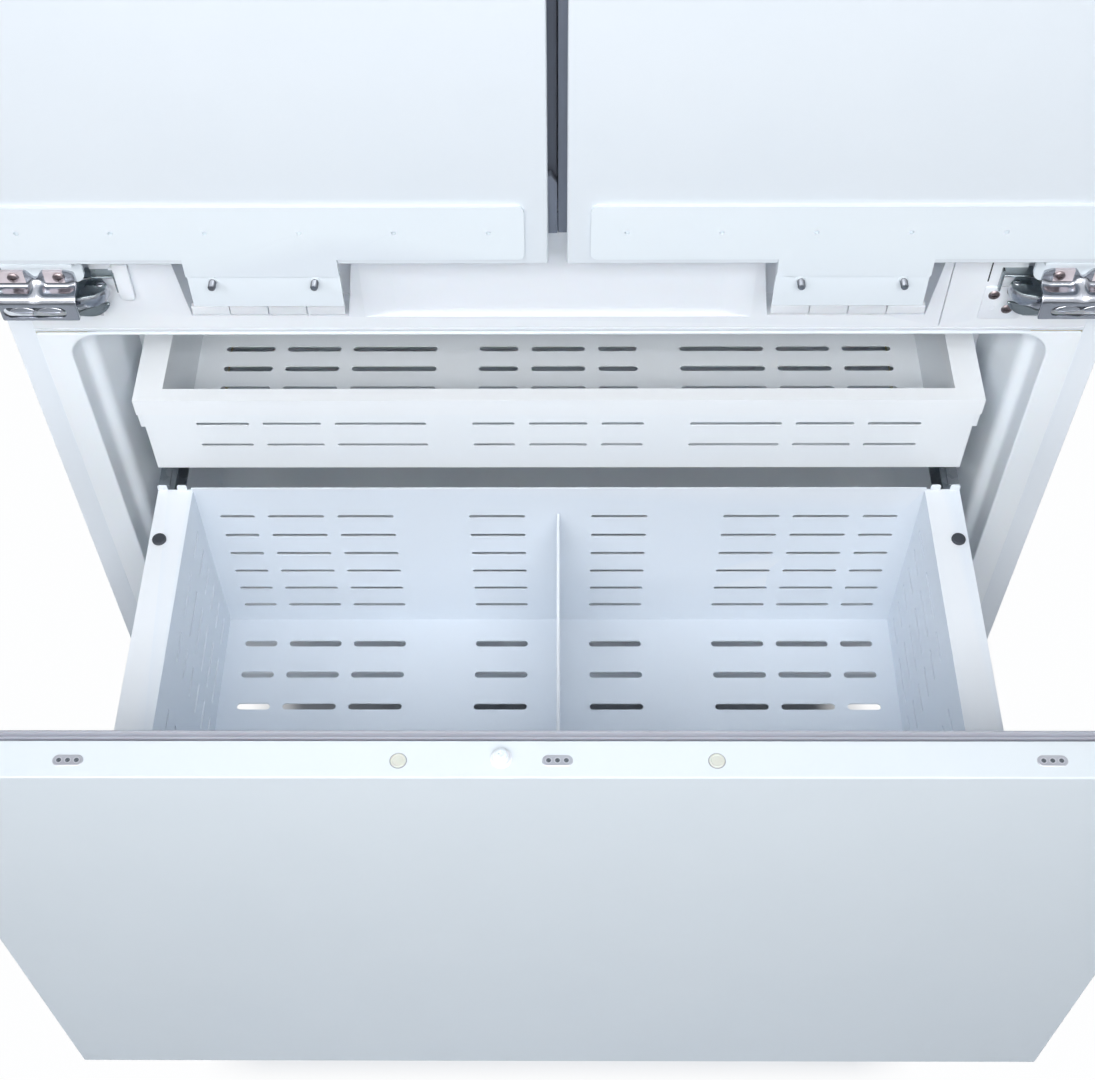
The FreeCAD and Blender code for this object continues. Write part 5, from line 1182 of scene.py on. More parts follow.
@dataclass
class HingeBracket:
    """The nickel-plated stamping of a door hinge: two ears, a valley between, a ledge and a windowed face.

    Args:
        x: Inner and outer end from the middle plane.
        thickness: The sheet's thickness.
        ear_drop: Top of the ears below the door's edge.
        ledge_drop: The ledge below the door's edge.
        plate_drop: The lower edge below the door's edge.
        ears: Both ears' ends from the outer end, as shares of the width.
        window_x: Both ends of the window from the middle plane.
        window_drop: The window's middle below the door's edge.
        window_height: Its height.
        bend: Radius of the front bend.
        reflection_spans: Ends of both ears' faces with the painted reflection, as shares of the width.
        reflection_rows: Rows of the sheet's faces, from the top, that get the painted reflection.
        sheared_edge: Radius of its sheared edges.
        valley_sink: How far the valley's top lies below the ears' tops.
    """

    x: Point = (373.0, 436.0)
    thickness: float = 2.5
    ear_drop: float = 22.5
    ledge_drop: float = 40.0
    plate_drop: float = 61.0
    ears: tuple[Point, Point] = ((0.0, 0.39), (0.59, 0.88))
    window_x: Point = (383.0, 433.0)
    window_drop: float = 52.0
    window_height: float = 11.0
    bend: float = 4.5
    reflection_spans: tuple[Point, Point] = ((0.03, 0.36), (0.61, 0.86))
    reflection_rows: int = 3
    sheared_edge: float = 0.3
    valley_sink: float = 7.5

    def build(self, side: str) -> None:
        """Makes a door's lower and upper bracket.

        Args:
            side: "left" or "right".
        """
        node = side + "_door_hinge_brackets"
        low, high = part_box(node)
        door_low, door_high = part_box(side + "_door_skin")
        hand = -1 if side == "left" else 1
        for end, edge_z, way in (("low", door_low.z, -1), ("top", door_high.z, 1)):
            shape = bmesh.new()
            self.add_sheet(shape, hand, (low.y, high.y), edge_z, way)
            piece = make_piece(f"{side}_hinge_stamping_{end}", mesh_of(shape), side + "_door",
                               [NICKEL_PLATE, EAR_NICKEL_PAINTED_REFLECTION], [node], smooth_angle=60)
            add_modifier(piece, "drawn_curves", "SUBSURF", levels=1, render_levels=1)
            add_modifier(piece, "sheet", "SOLIDIFY", thickness=self.thickness * MM, offset=0.0)
            add_modifier(piece, "sheared_edges", "BEVEL", width=self.sheared_edge * MM, segments=2,
                         angle_limit=math.radians(50))

    def profile(self, valley: float, depth: Point) -> list[Point]:
        """Points of the sheet's middle from the top edge down to the front face.

        Args:
            valley: 0 at an ear and 1 in the middle of the valley.
            depth: Y of the front and the rear of the sheet's middle.

        Returns:
            Places along Y and drops below the door's edge.
        """
        front, rear = depth
        top, ledge = self.ear_drop + self.valley_sink * valley, self.ledge_drop - self.thickness / 2
        bend = self.bend
        points = [(rear, top + (ledge - bend - top) * share) for share in (0.0, 0.35, 0.7, 1.0)]
        points += [(rear - bend * 0.3, ledge - bend * 0.3), (rear - bend, ledge),
                   ((front + rear) / 2, ledge), (front + bend, ledge),
                   (front + bend * 0.3, ledge + bend * 0.3), (front, ledge + bend)]
        sunk = []
        for place, drop in points:
            slope = (rear - place) / (rear - front)
            diagonal = top + (ledge + bend - top) * slope
            sunk.append((place, drop + (diagonal - drop) * valley * 0.75))
        return sunk

    def add_sheet(self, shape: Shape, hand: int, y: Point, edge_z: float, way: int) -> None:
        """Adds the sheet's middle surface.

        Args:
            shape: The shape that gets the surface.
            hand: -1 at the left door and 1 at the right.
            y: The CAD bracket's front and rear, in metres.
            edge_z: Height of the door's edge, in metres.
            way: -1 at the door's lower edge and 1 at its upper.
        """
        half = self.thickness / 2
        depth = (y[0] / MM + half, y[1] / MM - half)
        width = self.x[1] - self.x[0]
        radius = self.window_height / 2
        stops = {self.x[0] + half, self.x[1] - half}
        columns = 36
        stops |= {self.x[0] + half + (width - 2 * half) * index / columns for index in range(1, columns)}
        for tip, inward in ((self.window_x[0], 1), (self.window_x[1], -1)):
            stops |= {tip + inward * radius * (1 - math.cos(math.pi / 2 * step / 4)) for step in range(5)}
        ordered = sorted(stops)
        grid: list[list[Vector | None]] = []
        for x in ordered:
            share = (self.x[1] - x) / width
            valley = self.valley_at(share)
            grid.append([Vector((hand * x * MM, place * MM, edge_z + way * drop * MM))
                         for place, drop in self.column(x, valley, depth, radius)])
        # A column's last four points lie below the window.
        window_row = len(grid[0]) - 5
        for left, right, x_left, x_right in zip(grid, grid[1:], ordered, ordered[1:]):
            inside = self.window_x[0] - 0.01 <= x_left and x_right <= self.window_x[1] + 0.01
            for row in range(len(left) - 1):
                if row == window_row and inside:
                    continue
                corners = [left[row], right[row], right[row + 1], left[row + 1]]
                unique = [corner for index, corner in enumerate(corners)
                          if (corner - corners[index - 1]).length > 0.001 * MM]
                if len(unique) > 2:
                    face = shape.faces.new([shape.verts.new(corner) for corner in unique])
                    share = (self.x[1] - (x_left + x_right) / 2) / width
                    # The ears' upper rows take the paler nickel: a painted reflection.
                    face.material_index = int(row < self.reflection_rows
                                              and any(low < share < high for low, high in self.reflection_spans))

    def valley_at(self, share: float) -> float:
        """How deep the valley is at a share of the width.

        Args:
            share: 0 at the outer end and 1 at the inner.

        Returns:
            0 at an ear and 1 in the middle of the valley.
        """
        start, end = self.ears[0][1], self.ears[1][0]
        if share > self.ears[1][1]:
            return min(1.0, (share - self.ears[1][1]) / (1 - self.ears[1][1])) * 0.35
        if not start < share < end:
            return 0.0
        return math.sin(math.pi * (share - start) / (end - start)) ** 1.5

    def column(self, x: float, valley: float, depth: Point, radius: float) -> list[Point]:
        """Places and drops of one upright column of the sheet.

        Args:
            x: The column's place from the middle plane.
            valley: How deep the valley is there.
            depth: Y of the front and the rear of the sheet's middle.
            radius: Half of the window's height.

        Returns:
            Places along Y and drops below the door's edge.
        """
        points = self.profile(valley, depth)
        inward = min(x - self.window_x[0], self.window_x[1] - x)
        reach = 0.0
        if inward > 0:
            reach = radius if inward >= radius else math.sqrt(max(0.0, radius ** 2 - (radius - inward) ** 2))
        start = points[-1][1]
        upper, lower = self.window_drop - reach, self.window_drop + reach
        front, end = depth[0], self.plate_drop - self.thickness / 4
        points += [(front, start + (upper - start) * share) for share in (0.35, 0.7, 0.9, 1.0)]
        points += [(front, lower + (end - lower) * share) for share in (0.0, 0.2, 0.6, 1.0)]
        return points


@dataclass
class FridgeDoor:
    """One side-hung fridge door with what is fixed to it.

    Args:
        side: "left" or "right".
        sheet_bend: Radius of the skin's folded edges.
        liner_edge: Radius of the inner panel's edges.
        rail_edge: Radius of the panel rails' edges.
        carrier_edge: Radius of the hinge carriers' edges.
    """

    side: str
    sheet_bend: float = 1.6
    liner_edge: float = 1.0
    rail_edge: float = 0.35
    carrier_edge: float = 0.5

    def build(self) -> None:
        """Finishes the door's sheets and makes its seal, brackets and screws."""
        name = self.side + "_door"
        FoldedSkin(self.sheet_bend).build(name + "_skin", name)
        finish_node(name + "_liner", LINER_PLASTIC, self.liner_edge, 3)
        finish_node(name + "_panel_rail", BRACKET_STEEL, self.rail_edge)
        finish_node(name + "_hinge_carriers", BRACKET_STEEL, self.carrier_edge)
        DoorSeal().build(name + "_seal", name + "_gasket", name)
        StudBracket().build(self.side)
        HingeBracket().build(self.side)
        self.screws()

    def screws(self) -> None:
        """Makes the screws of the hinge brackets."""
        node = self.side + "_door_hinge_screws"
        shape = bmesh.new()
        for place in solid_middles(node):
            spot = Vector((place.x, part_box(node)[1].y, place.z))
            add_cross_screw(shape, place_on(spot, FORWARD))
        make_piece(self.side + "_hinge_cross_screws", mesh_of(shape), self.side + "_door", [SCREW_NICKEL],
                   [node])


def solid_middles(node: str) -> list[Vector]:
    """Finds the middles of a CAD node's separate solids.

    Args:
        node: The node's name.

    Returns:
        One middle for each solid, in metres, in a fixed order.
    """
    shape = bmesh.new()
    shape.from_mesh(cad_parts[node].data)
    bmesh.ops.remove_doubles(shape, verts=shape.verts, dist=0.005 * MM)
    middles = []
    left = set(shape.verts)
    while left:
        queue = [min(left, key=lambda vert: vert.index)]
        group = set(queue)
        while queue:
            vert = queue.pop()
            for edge in vert.link_edges:
                other = edge.other_vert(vert)
                if other not in group:
                    group.add(other)
                    queue.append(other)
        left -= group
        spans = [(min(v.co[axis] for v in group), max(v.co[axis] for v in group)) for axis in range(3)]
        middles.append(Vector([(low + high) / 2 for low, high in spans]))
    shape.free()
    return sorted(middles, key=lambda middle: (round(middle.x, 4), round(middle.z, 4), round(middle.y, 4)))


@dataclass
class HingeLink:
    """The folding steel between a door's bracket and the cabinet, at one corner of the doors.

    All drops are measured from the door's edge and all places from the cabinet's front.

    Args:
        link: Outline of the link's top from above, across and along Y.
        link_drop: The link's top.
        flange_drop: Lower edge of its curved flange.
        sheet: Thickness of its sheet.
        rivet: Place of its rivet.
        rivet_radius: Radius of the rivet's head.
        fork: The fixed fork's plate: both ends across, both along Y and its top's drop.
        fork_sheet: Thickness of the fork's sheet.
        fork_leg: Both ends of the fork's leg along Y, clear of the swinging link.
        leg_length: Length of that leg.
        sheet_edge: Radius of the fork's eased edges.
        link_edge: Radius of the link's eased edges.
        tongue: Outline of the lower lever, across and its drop.
        tongue_y: Its front and rear.
        tongue_edge: Radius of its rolled edges.
        levers: Middles of the levers behind the bracket's window, across.
        lever: Outline of a lever from its middle and its drop.
        lever_y: Its front and rear.
        lever_edge: Radius of its rolled edges.
        bushes: Middles of the dark bushes between the levers, across.
        bush_spot: The bushes' seat along Y and their drop.
        wall_plate_x: Both ends of a wall plate from the middle plane.
        wall_plate_y: Its front and rear in the row frame.
        wall_plate_z: Lower and upper ends of the two wall plates.
        wall_plate_edge: Radius of its edges.
    """

    link: tuple[Point, ...] = ((412, -9), (392, -9), (381, -8), (370, -5.2), (361, -4.2), (355.4, -11.4),
                               (356.6, -18), (362.6, -24.0), (374, -27.0), (392, -28.0), (412, -28.0))
    link_drop: float = 47.6
    flange_drop: float = 58.6
    sheet: float = 1.6
    rivet: Point = (360.5, -11.0)
    rivet_radius: float = 3.4
    fork: tuple[float, float, float, float, float] = (350.0, 374.0, -9.0, 2.0, 42.2)
    fork_sheet: float = 1.8
    fork_leg: Point = (-4.5, 2.0)
    leg_length: float = 22.0
    sheet_edge: float = 0.4
    link_edge: float = 0.45
    tongue: tuple[Point, ...] = ((391, 80.5), (380, 83.4), (370, 82.6), (362, 77.0), (357.6, 69.6),
                                 (364, 69.8), (372, 72.6), (382, 77.6))
    tongue_y: Point = (-12.0, -9.6)
    tongue_edge: float = 0.8
    levers: Point = (396.0, 418.0)
    lever: tuple[Point, ...] = ((-9.5, 52.4), (-5, 49.6), (1, 48.6), (7, 50.0), (10.5, 52.6), (6, 55.0),
                                (0, 56.0), (-6, 55.2))
    lever_y: Point = (-36.2, -33.0)
    lever_edge: float = 1.0
    bushes: Triple = (386.5, 406.8, 428.5)
    bush_spot: Point = (-33.5, 52.0)
    wall_plate_x: Point = (436.0, 450.0)
    wall_plate_y: Point = (-91.5, -72.5)
    wall_plate_z: tuple[Point, Point] = ((748.5, 788.2), (2050.3, 2090.0))
    wall_plate_edge: float = 0.6

    def build(self, side: str) -> None:
        """Makes one side's links, fixed arms and levers at both of its hinges.

        Args:
            side: "left" or "right".
        """
        hand = -1 if side == "left" else 1
        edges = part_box(side + "_door_skin")
        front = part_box("cabinet_shell")[0].y
        links, arms, levers = bmesh.new(), bmesh.new(), bmesh.new()
        for edge_z, way in ((edges[0].z, -1), (edges[1].z, 1)):
            def across(x: float, y: float, drop: float) -> Vector:
                """A point of a level plate."""
                return Vector((hand * x * MM, front + y * MM, edge_z + way * drop * MM))

            def upright(x: float, drop: float, y: float) -> Vector:
                """A point of an upright plate."""
                return across(x, y, drop)

            self.add_link(links, across, -way)
            self.add_levers(levers, upright, across)
            x_low, x_high, y_low, y_high, drop = self.fork
            leg, end = x_low + self.fork_sheet, drop + self.leg_length
            add_plate(arms, ((x_low, y_low), (x_high, y_low), (x_high, y_high), (x_low, y_high)),
                      (drop, drop + self.fork_sheet), across, self.sheet_edge)
            add_plate(arms, ((x_low, drop), (leg, drop), (leg, end), (x_low, end)), self.fork_leg, upright,
                      self.sheet_edge)
            if way < 0:
                add_plate(arms, rounded_outline(self.tongue, 4), self.tongue_y, upright, self.tongue_edge)
        self.add_base(arms, side)
        # Link tops take the darker grey-green nickel, painted shade; flanges and rivets keep the bright nickel.
        make_piece(side + "_folding_links", mesh_of(links), side + "_links", [LINK_NICKEL_PAINTED_SHADE, NICKEL_PLATE],
                   [side + "_hinge_links"], smooth_angle=50)
        make_piece(side + "_window_levers", mesh_of(levers), side + "_door", [NICKEL_PLATE, DARK_NYLON],
                   smooth_angle=50)
        make_piece(side + "_hinge_arms", mesh_of(arms), "cabinet", [LINK_NICKEL_PAINTED_SHADE],
                   ["hinge_base_" + side], smooth_angle=50)

    def add_link(self, shape: Shape, across: Spot, way: int) -> None:
        """Adds a link: its flat top, the flange round its free end and its rivet.

        Args:
            shape: The shape that gets the link.
            across: Gives a point from its place across, along Y and its drop.
            way: Where the rivet's head points, 1 for up.
        """
        top = self.link_drop
        add_plate(shape, self.link, (top, top + self.sheet), across, self.link_edge)
        lower = list(self.link[5:])
        stations = []
        for index, (x, y) in enumerate(lower):
            before, after = lower[max(index - 1, 0)], lower[min(index + 1, len(lower) - 1)]
            along = Vector((after[0] - before[0], after[1] - before[1])).normalized()
            out = Vector((along.y, -along.x))
            ring = []
            for reach, drop in ((-0.2, top + 0.6), (0.9, top + 3.0), (1.2, top + 7.0), (0.4, self.flange_drop),
                                (-0.9, self.flange_drop), (-0.3, top + 7.0), (-0.6, top + 3.0),
                                (-1.6, top + 1.2)):
                ring.append(across(x + out.x * reach, y + out.y * reach, drop))
            stations.append(ring)
        add_rings(shape, stations, slot=1)
        r = self.rivet_radius
        spot = across(self.rivet[0], self.rivet[1], top)
        add_turned(shape, ((r, -0.2), (r, 0.5), (r * 0.9, 0.9), (r * 0.6, 1.15), (r * 0.1, 1.2)),
                   place_on(spot, Vector((0, 0, way))), 24, slot=1)

    def add_levers(self, shape: Shape, upright: Spot, across: Spot) -> None:
        """Adds what shows through a bracket's window: two lens-shaped levers between dark bushes.

        Args:
            shape: The shape that gets the levers.
            upright: Gives a point from its place across, its drop and its place along Y.
            across: Gives a point from its place across, along Y and its drop.
        """
        for middle in self.levers:
            lens = [(middle + x, drop) for x, drop in self.lever]
            add_plate(shape, rounded_outline(lens, 4), self.lever_y, upright, self.lever_edge)
        for x in self.bushes:
            where = place_on(across(x, *self.bush_spot), FORWARD)
            add_turned(shape, ((3.6, -3), (3.6, 0), (2.9, 0.7), (0.3, 0.8)), where, 20, slot=1)

    def add_base(self, shape: Shape, side: str) -> None:
        """Adds the wall plates beside the doors, which the CAD base also has.

        Args:
            shape: The shape that gets the plates.
            side: "left" or "right".
        """
        hand = -1 if side == "left" else 1
        front, rear = self.wall_plate_y
        for bottom, top in self.wall_plate_z:
            ends = sorted(hand * x * MM for x in self.wall_plate_x)
            add_block(shape, Vector((ends[0], front * MM, bottom * MM)), Vector((ends[1], rear * MM, top * MM)),
                      self.wall_plate_edge)


@dataclass
class CrossbarTrim:
    """What the crossbar's front carries: a boss, a screw plate, openings painted dark as shadow, an arm and
    ledges.

    Args:
        boss_x: Both ends of the left boss from the middle plane.
        boss_z: Its lower and upper end above the freezer door's top.
        boss_rise: How far it stands out.
        boss_corner: Radius of its lower corners.
        boss_edge: Radius of its edges.
        plate: Outline of the right screw plate, across and up.
        plate_rise: How far it stands out.
        dimples: Places of the plate's two blind dimples.
        mouth: Outline of the dark mouth beside it.
        slit: The dark slit above the plate: both ends across and both up.
        arm: Outline of the bright arm below the mouth.
        arm_rise: How far it stands out.
        sunk: How far plate, openings and arm reach into the cover.
        ledge_x: Both ends of a pocket's ledge from the middle plane.
        ledge_z: Its lower and upper edge above the freezer door's top.
        ledge_y: Its front and rear behind the cover's front.
        ledge_steps: Number of its tiles.
        ledge_gap: Gap from tile to tile.
    """

    boss_x: Point = (338.5, 351.0)
    boss_z: Point = (35.0, 74.0)
    boss_rise: float = 3.2
    boss_corner: float = 5.0
    boss_edge: float = 1.2
    plate: tuple[Point, ...] = ((340.7, 46.0), (340.7, 9.7), (374.5, 9.7), (372.0, 46.0))
    plate_rise: float = 1.2
    dimples: tuple[Point, Point] = ((364.0, 39.3), (350.0, 22.4))
    mouth: tuple[Point, ...] = ((369.5, 52.5), (372.4, 46.5), (373.2, 35.0), (388.0, 34.0), (388.0, 54.0),
                                (374.0, 54.0))
    slit: tuple[float, float, float, float] = (340.8, 342.0, 51.0, 72.0)
    arm: tuple[Point, ...] = ((374.0, 33.6), (374.6, 17.5), (391.0, 16.8), (391.0, 26.0), (383.0, 31.5))
    arm_rise: float = 5.0
    sunk: float = 0.3
    ledge_x: Point = (172.0, 297.0)
    ledge_z: Point = (17.0, 25.6)
    ledge_y: Point = (-0.4, 5.0)
    ledge_steps: int = 4
    ledge_gap: float = 0.8

    def build(self) -> None:
        """Makes the trims."""
        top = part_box("freezer_door_skin")[1].z
        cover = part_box("crossbar_cover")[0].y
        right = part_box("hinge_cover_right")[0].y

        def left_spot(x: float, z: float, y: float) -> Vector:
            """A point on the crossbar's left end."""
            return Vector((-x * MM, cover + y * MM, top + z * MM))

        def right_spot(x: float, z: float, y: float) -> Vector:
            """A point on the right hinge cover."""
            return Vector((x * MM, right + y * MM, top + z * MM))

        white, dark = bmesh.new(), bmesh.new()
        boss = self.cornered(self.boss_x, self.boss_z, self.boss_corner)
        add_plate(white, boss, (-self.boss_rise, 0.5), left_spot, self.boss_edge)
        add_plate(white, self.eased(self.plate, 3.0), (-self.plate_rise, self.sunk), right_spot, 0.5)
        for x, z in self.dimples:
            where = place_on(right_spot(x, z, -self.plate_rise), FORWARD)
            add_turned(white, ((2.9, -0.2), (2.8, 0.1), (2.4, 0.22), (2.1, 0.12), (1.6, 0.04), (0.2, 0.02)),
                       where, 24)
        bottom, ceiling = (top + z * MM for z in self.ledge_z)
        front, rear = (cover + y * MM for y in self.ledge_y)
        pitch = (self.ledge_x[1] - self.ledge_x[0]) / self.ledge_steps
        for hand in (-1, 1):
            for index in range(self.ledge_steps):
                near = self.ledge_x[0] + pitch * index + self.ledge_gap / 2
                ends = sorted((hand * near, hand * (near + pitch - self.ledge_gap)))
                add_block(white, Vector((ends[0] * MM, front, bottom)), Vector((ends[1] * MM, rear, ceiling)), 0.5)
        make_piece("crossbar_trims", mesh_of(white), "cabinet", [MOULDED_ABS],
                   smooth_angle=50)
        # The slit and the mouth are flat plates painted near black as the shadow inside openings.
        x_low, x_high, z_low, z_high = self.slit
        add_plate(dark, ((x_low, z_low), (x_high, z_low), (x_high, z_high), (x_low, z_high)),
                  (-0.06, self.sunk), right_spot, 0.02)
        add_plate(dark, self.eased(self.mouth, 1.2), (-0.08, self.sunk), right_spot, 0.03)
        make_piece("crossbar_opening_shadows", mesh_of(dark), "cabinet", [SHADOW_NYLON], smooth_angle=50)
        arm = bmesh.new()
        add_plate(arm, self.eased(self.arm, 1.0), (-self.arm_rise, self.sunk), right_spot, 1.2)
        make_piece("hinge_cover_arm", mesh_of(arm), "cabinet", [NICKEL_PLATE], smooth_angle=50)

    def cornered(self, x: Point, z: Point, radius: float) -> list[Point]:
        """Points of an upright rectangle with round corners at its lower end.

        Args:
            x: Both ends across.
            z: Both ends up.
            radius: Radius of the lower corners.

        Returns:
            The points.
        """
        points = [(x[0], z[1]), (x[1], z[1])]
        for centre, start in ((x[1] - radius, 0), (x[0] + radius, 1)):
            for step in range(7):
                angle = -math.pi / 2 * (start + step / 6)
                points.append((centre + radius * math.cos(angle), z[0] + radius + radius * math.sin(angle)))
        return points

    def eased(self, corners: Sequence[Point], radius: float) -> list[Point]:
        """Rounds the corners of an outline.

        Args:
            corners: Its corners.
            radius: How much of each side a corner takes.

        Returns:
            The new points.
        """
        points = []
        for index, corner in enumerate(corners):
            middle = Vector(corner)
            before = middle + (Vector(corners[index - 1]) - middle).normalized() * radius
            after = middle + (Vector(corners[(index + 1) % len(corners)]) - middle).normalized() * radius
            for step in range(5):
                t = step / 4
                points.append(tuple(before * (1 - t) ** 2 + middle * 2 * t * (1 - t) + after * t ** 2))
        return points


@dataclass
class CentreGap:
    """What fills the gap between the doors: a flap at the left door and a strip at the right.

    Args:
        half_gap: Reach of both from the middle plane.
        seam: Both sides of the seam between them, across.
        depth: Their front and rear behind the cabinet's front.
        flap_height: Height of the left flap.
        flap_cut: Width and height left at the flap's cut corner.
        lift: Their lower ends above the doors' lower edges.
        strip_lift: How much higher the strip's lower end lies.
    """

    half_gap: float = 10.6
    seam: Point = (-0.2, 0.5)
    depth: Point = (-10.9, -4.2)
    flap_height: float = 56.0
    flap_cut: Point = (4.6, 7.0)
    lift: float = 5.0
    strip_lift: float = 0.6

    def build(self) -> None:
        """Makes the flap and the strip."""
        low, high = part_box("left_door_skin")
        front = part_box("cabinet_shell")[0].y
        bottom, top = low.z / MM + self.lift, high.z / MM - self.lift
        reach, (inner, outer) = self.half_gap, self.seam

        def spot(x: float, z: float, y: float) -> Vector:
            """A point of the gap's filling."""
            return Vector((x * MM, front + y * MM, z * MM))

        flap = bmesh.new()
        for end, way in ((bottom, 1), (top, -1)):
            shoulder = end + way * self.flap_height
            add_plate(flap, ((-reach, end), (inner, end), (inner, shoulder - way * self.flap_cut[1]),
                             (-self.flap_cut[0], shoulder), (-reach, shoulder)), self.depth, spot, 0.4)
        # The flap takes the lighter copy of the slate coat: painted light.
        make_piece("centre_flap", mesh_of(flap), "left_door", [SLATE_FLAP_PAINTED_LIGHT])
        strip = bmesh.new()
        end = bottom + self.strip_lift
        add_plate(strip, ((outer, end), (reach, end), (reach, top), (outer, top)), self.depth, spot, 0.5)
        make_piece("centre_strip", mesh_of(strip), "right_door", [SLATE_BAR],
                   ["right_door_centre_strip"])


@dataclass
class HingeMetal:
    """The hinges' arms and links, the cabinet's screws and the folding centre bar.

    Args:
        edge: Radius of the stamped edges.
        screw_seat: How far a screw's seat lies behind the middle of its CAD solid.
    """

    edge: float = 0.5
    screw_seat: float = 0.4

    def build(self) -> None:
        """Makes both sides' links, finishes the bar and makes the cabinet's screws."""
        for side in ("left", "right"):
            HingeLink().build(side)
        finish_node("centre_bar", SLATE_BAR, self.edge)
        finish_node("left_door_bar_brackets", DARK_NYLON, self.edge)
        CentreGap().build()
        CrossbarTrim().build()
        shape = bmesh.new()
        for place in solid_middles("cabinet_screws"):
            spot = Vector((place.x, place.y + self.screw_seat * MM, place.z))
            add_cross_screw(shape, place_on(spot, FORWARD))
        make_piece("cabinet_cross_screws", mesh_of(shape), "cabinet", [SCREW_NICKEL],
                   ["cabinet_screws"])


@dataclass
class FreezerDoor:
    """The drawer's front without its wooden panel.

    Args:
        sheet_bend: Radius of the skin's folded edges.
        liner_edge: Radius of the inner panel's edges.
    """

    sheet_bend: float = 1.4
    liner_edge: float = 1.0

    def build(self) -> None:
        """Finishes the sheets and makes the seal and the edge's fixings."""
        # The drawer's front takes the greyer copy of the door coat: painted shade.
        FoldedSkin(self.sheet_bend, finish=DRAWER_STEEL_PAINTED_SHADE).build("freezer_door_skin", "freezer_drawer")
        finish_node("freezer_door_liner", LINER_PLASTIC, self.liner_edge)
        DoorSeal().build("freezer_door_seal", "freezer_door_gasket", "freezer_drawer")
        EdgeFixings().build()


@dataclass
class LevellingFeet:
    """Four turned feet with threaded stems.

    Args:
        radius: Radius of a foot's disc.
        disc_height: Its height.
        stem_radius: Radius of its stem.
        pitch: Climb of the stem's thread.
    """

    radius: float = 25.0
    disc_height: float = 10.0
    stem_radius: float = 6.0
    pitch: float = 1.75

    def build(self) -> None:
        """Makes the feet."""
        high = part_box("levelling_feet")[1]
        top = high.z / MM
        r, h = self.radius, self.disc_height
        disc = ((r * 0.9, 0), (r, h * 0.15), (r, h * 0.45), (r * 0.93, h * 0.6), (r * 0.5, h * 0.8),
                (self.stem_radius * 1.5, h * 0.86), (self.stem_radius * 1.5, h))
        shape = bmesh.new()
        for middle in solid_middles("levelling_feet"):
            where = Matrix.Translation(Vector((middle.x, middle.y, 0)))
            add_turned(shape, disc, where, 40, slot=1)
            add_threaded(shape, self.stem_radius, self.pitch, (h, top), where, slot=0)
        make_piece("turned_feet", mesh_of(shape), "cabinet", [ZINC_PLATE, DARK_NYLON],
                   ["levelling_feet"])


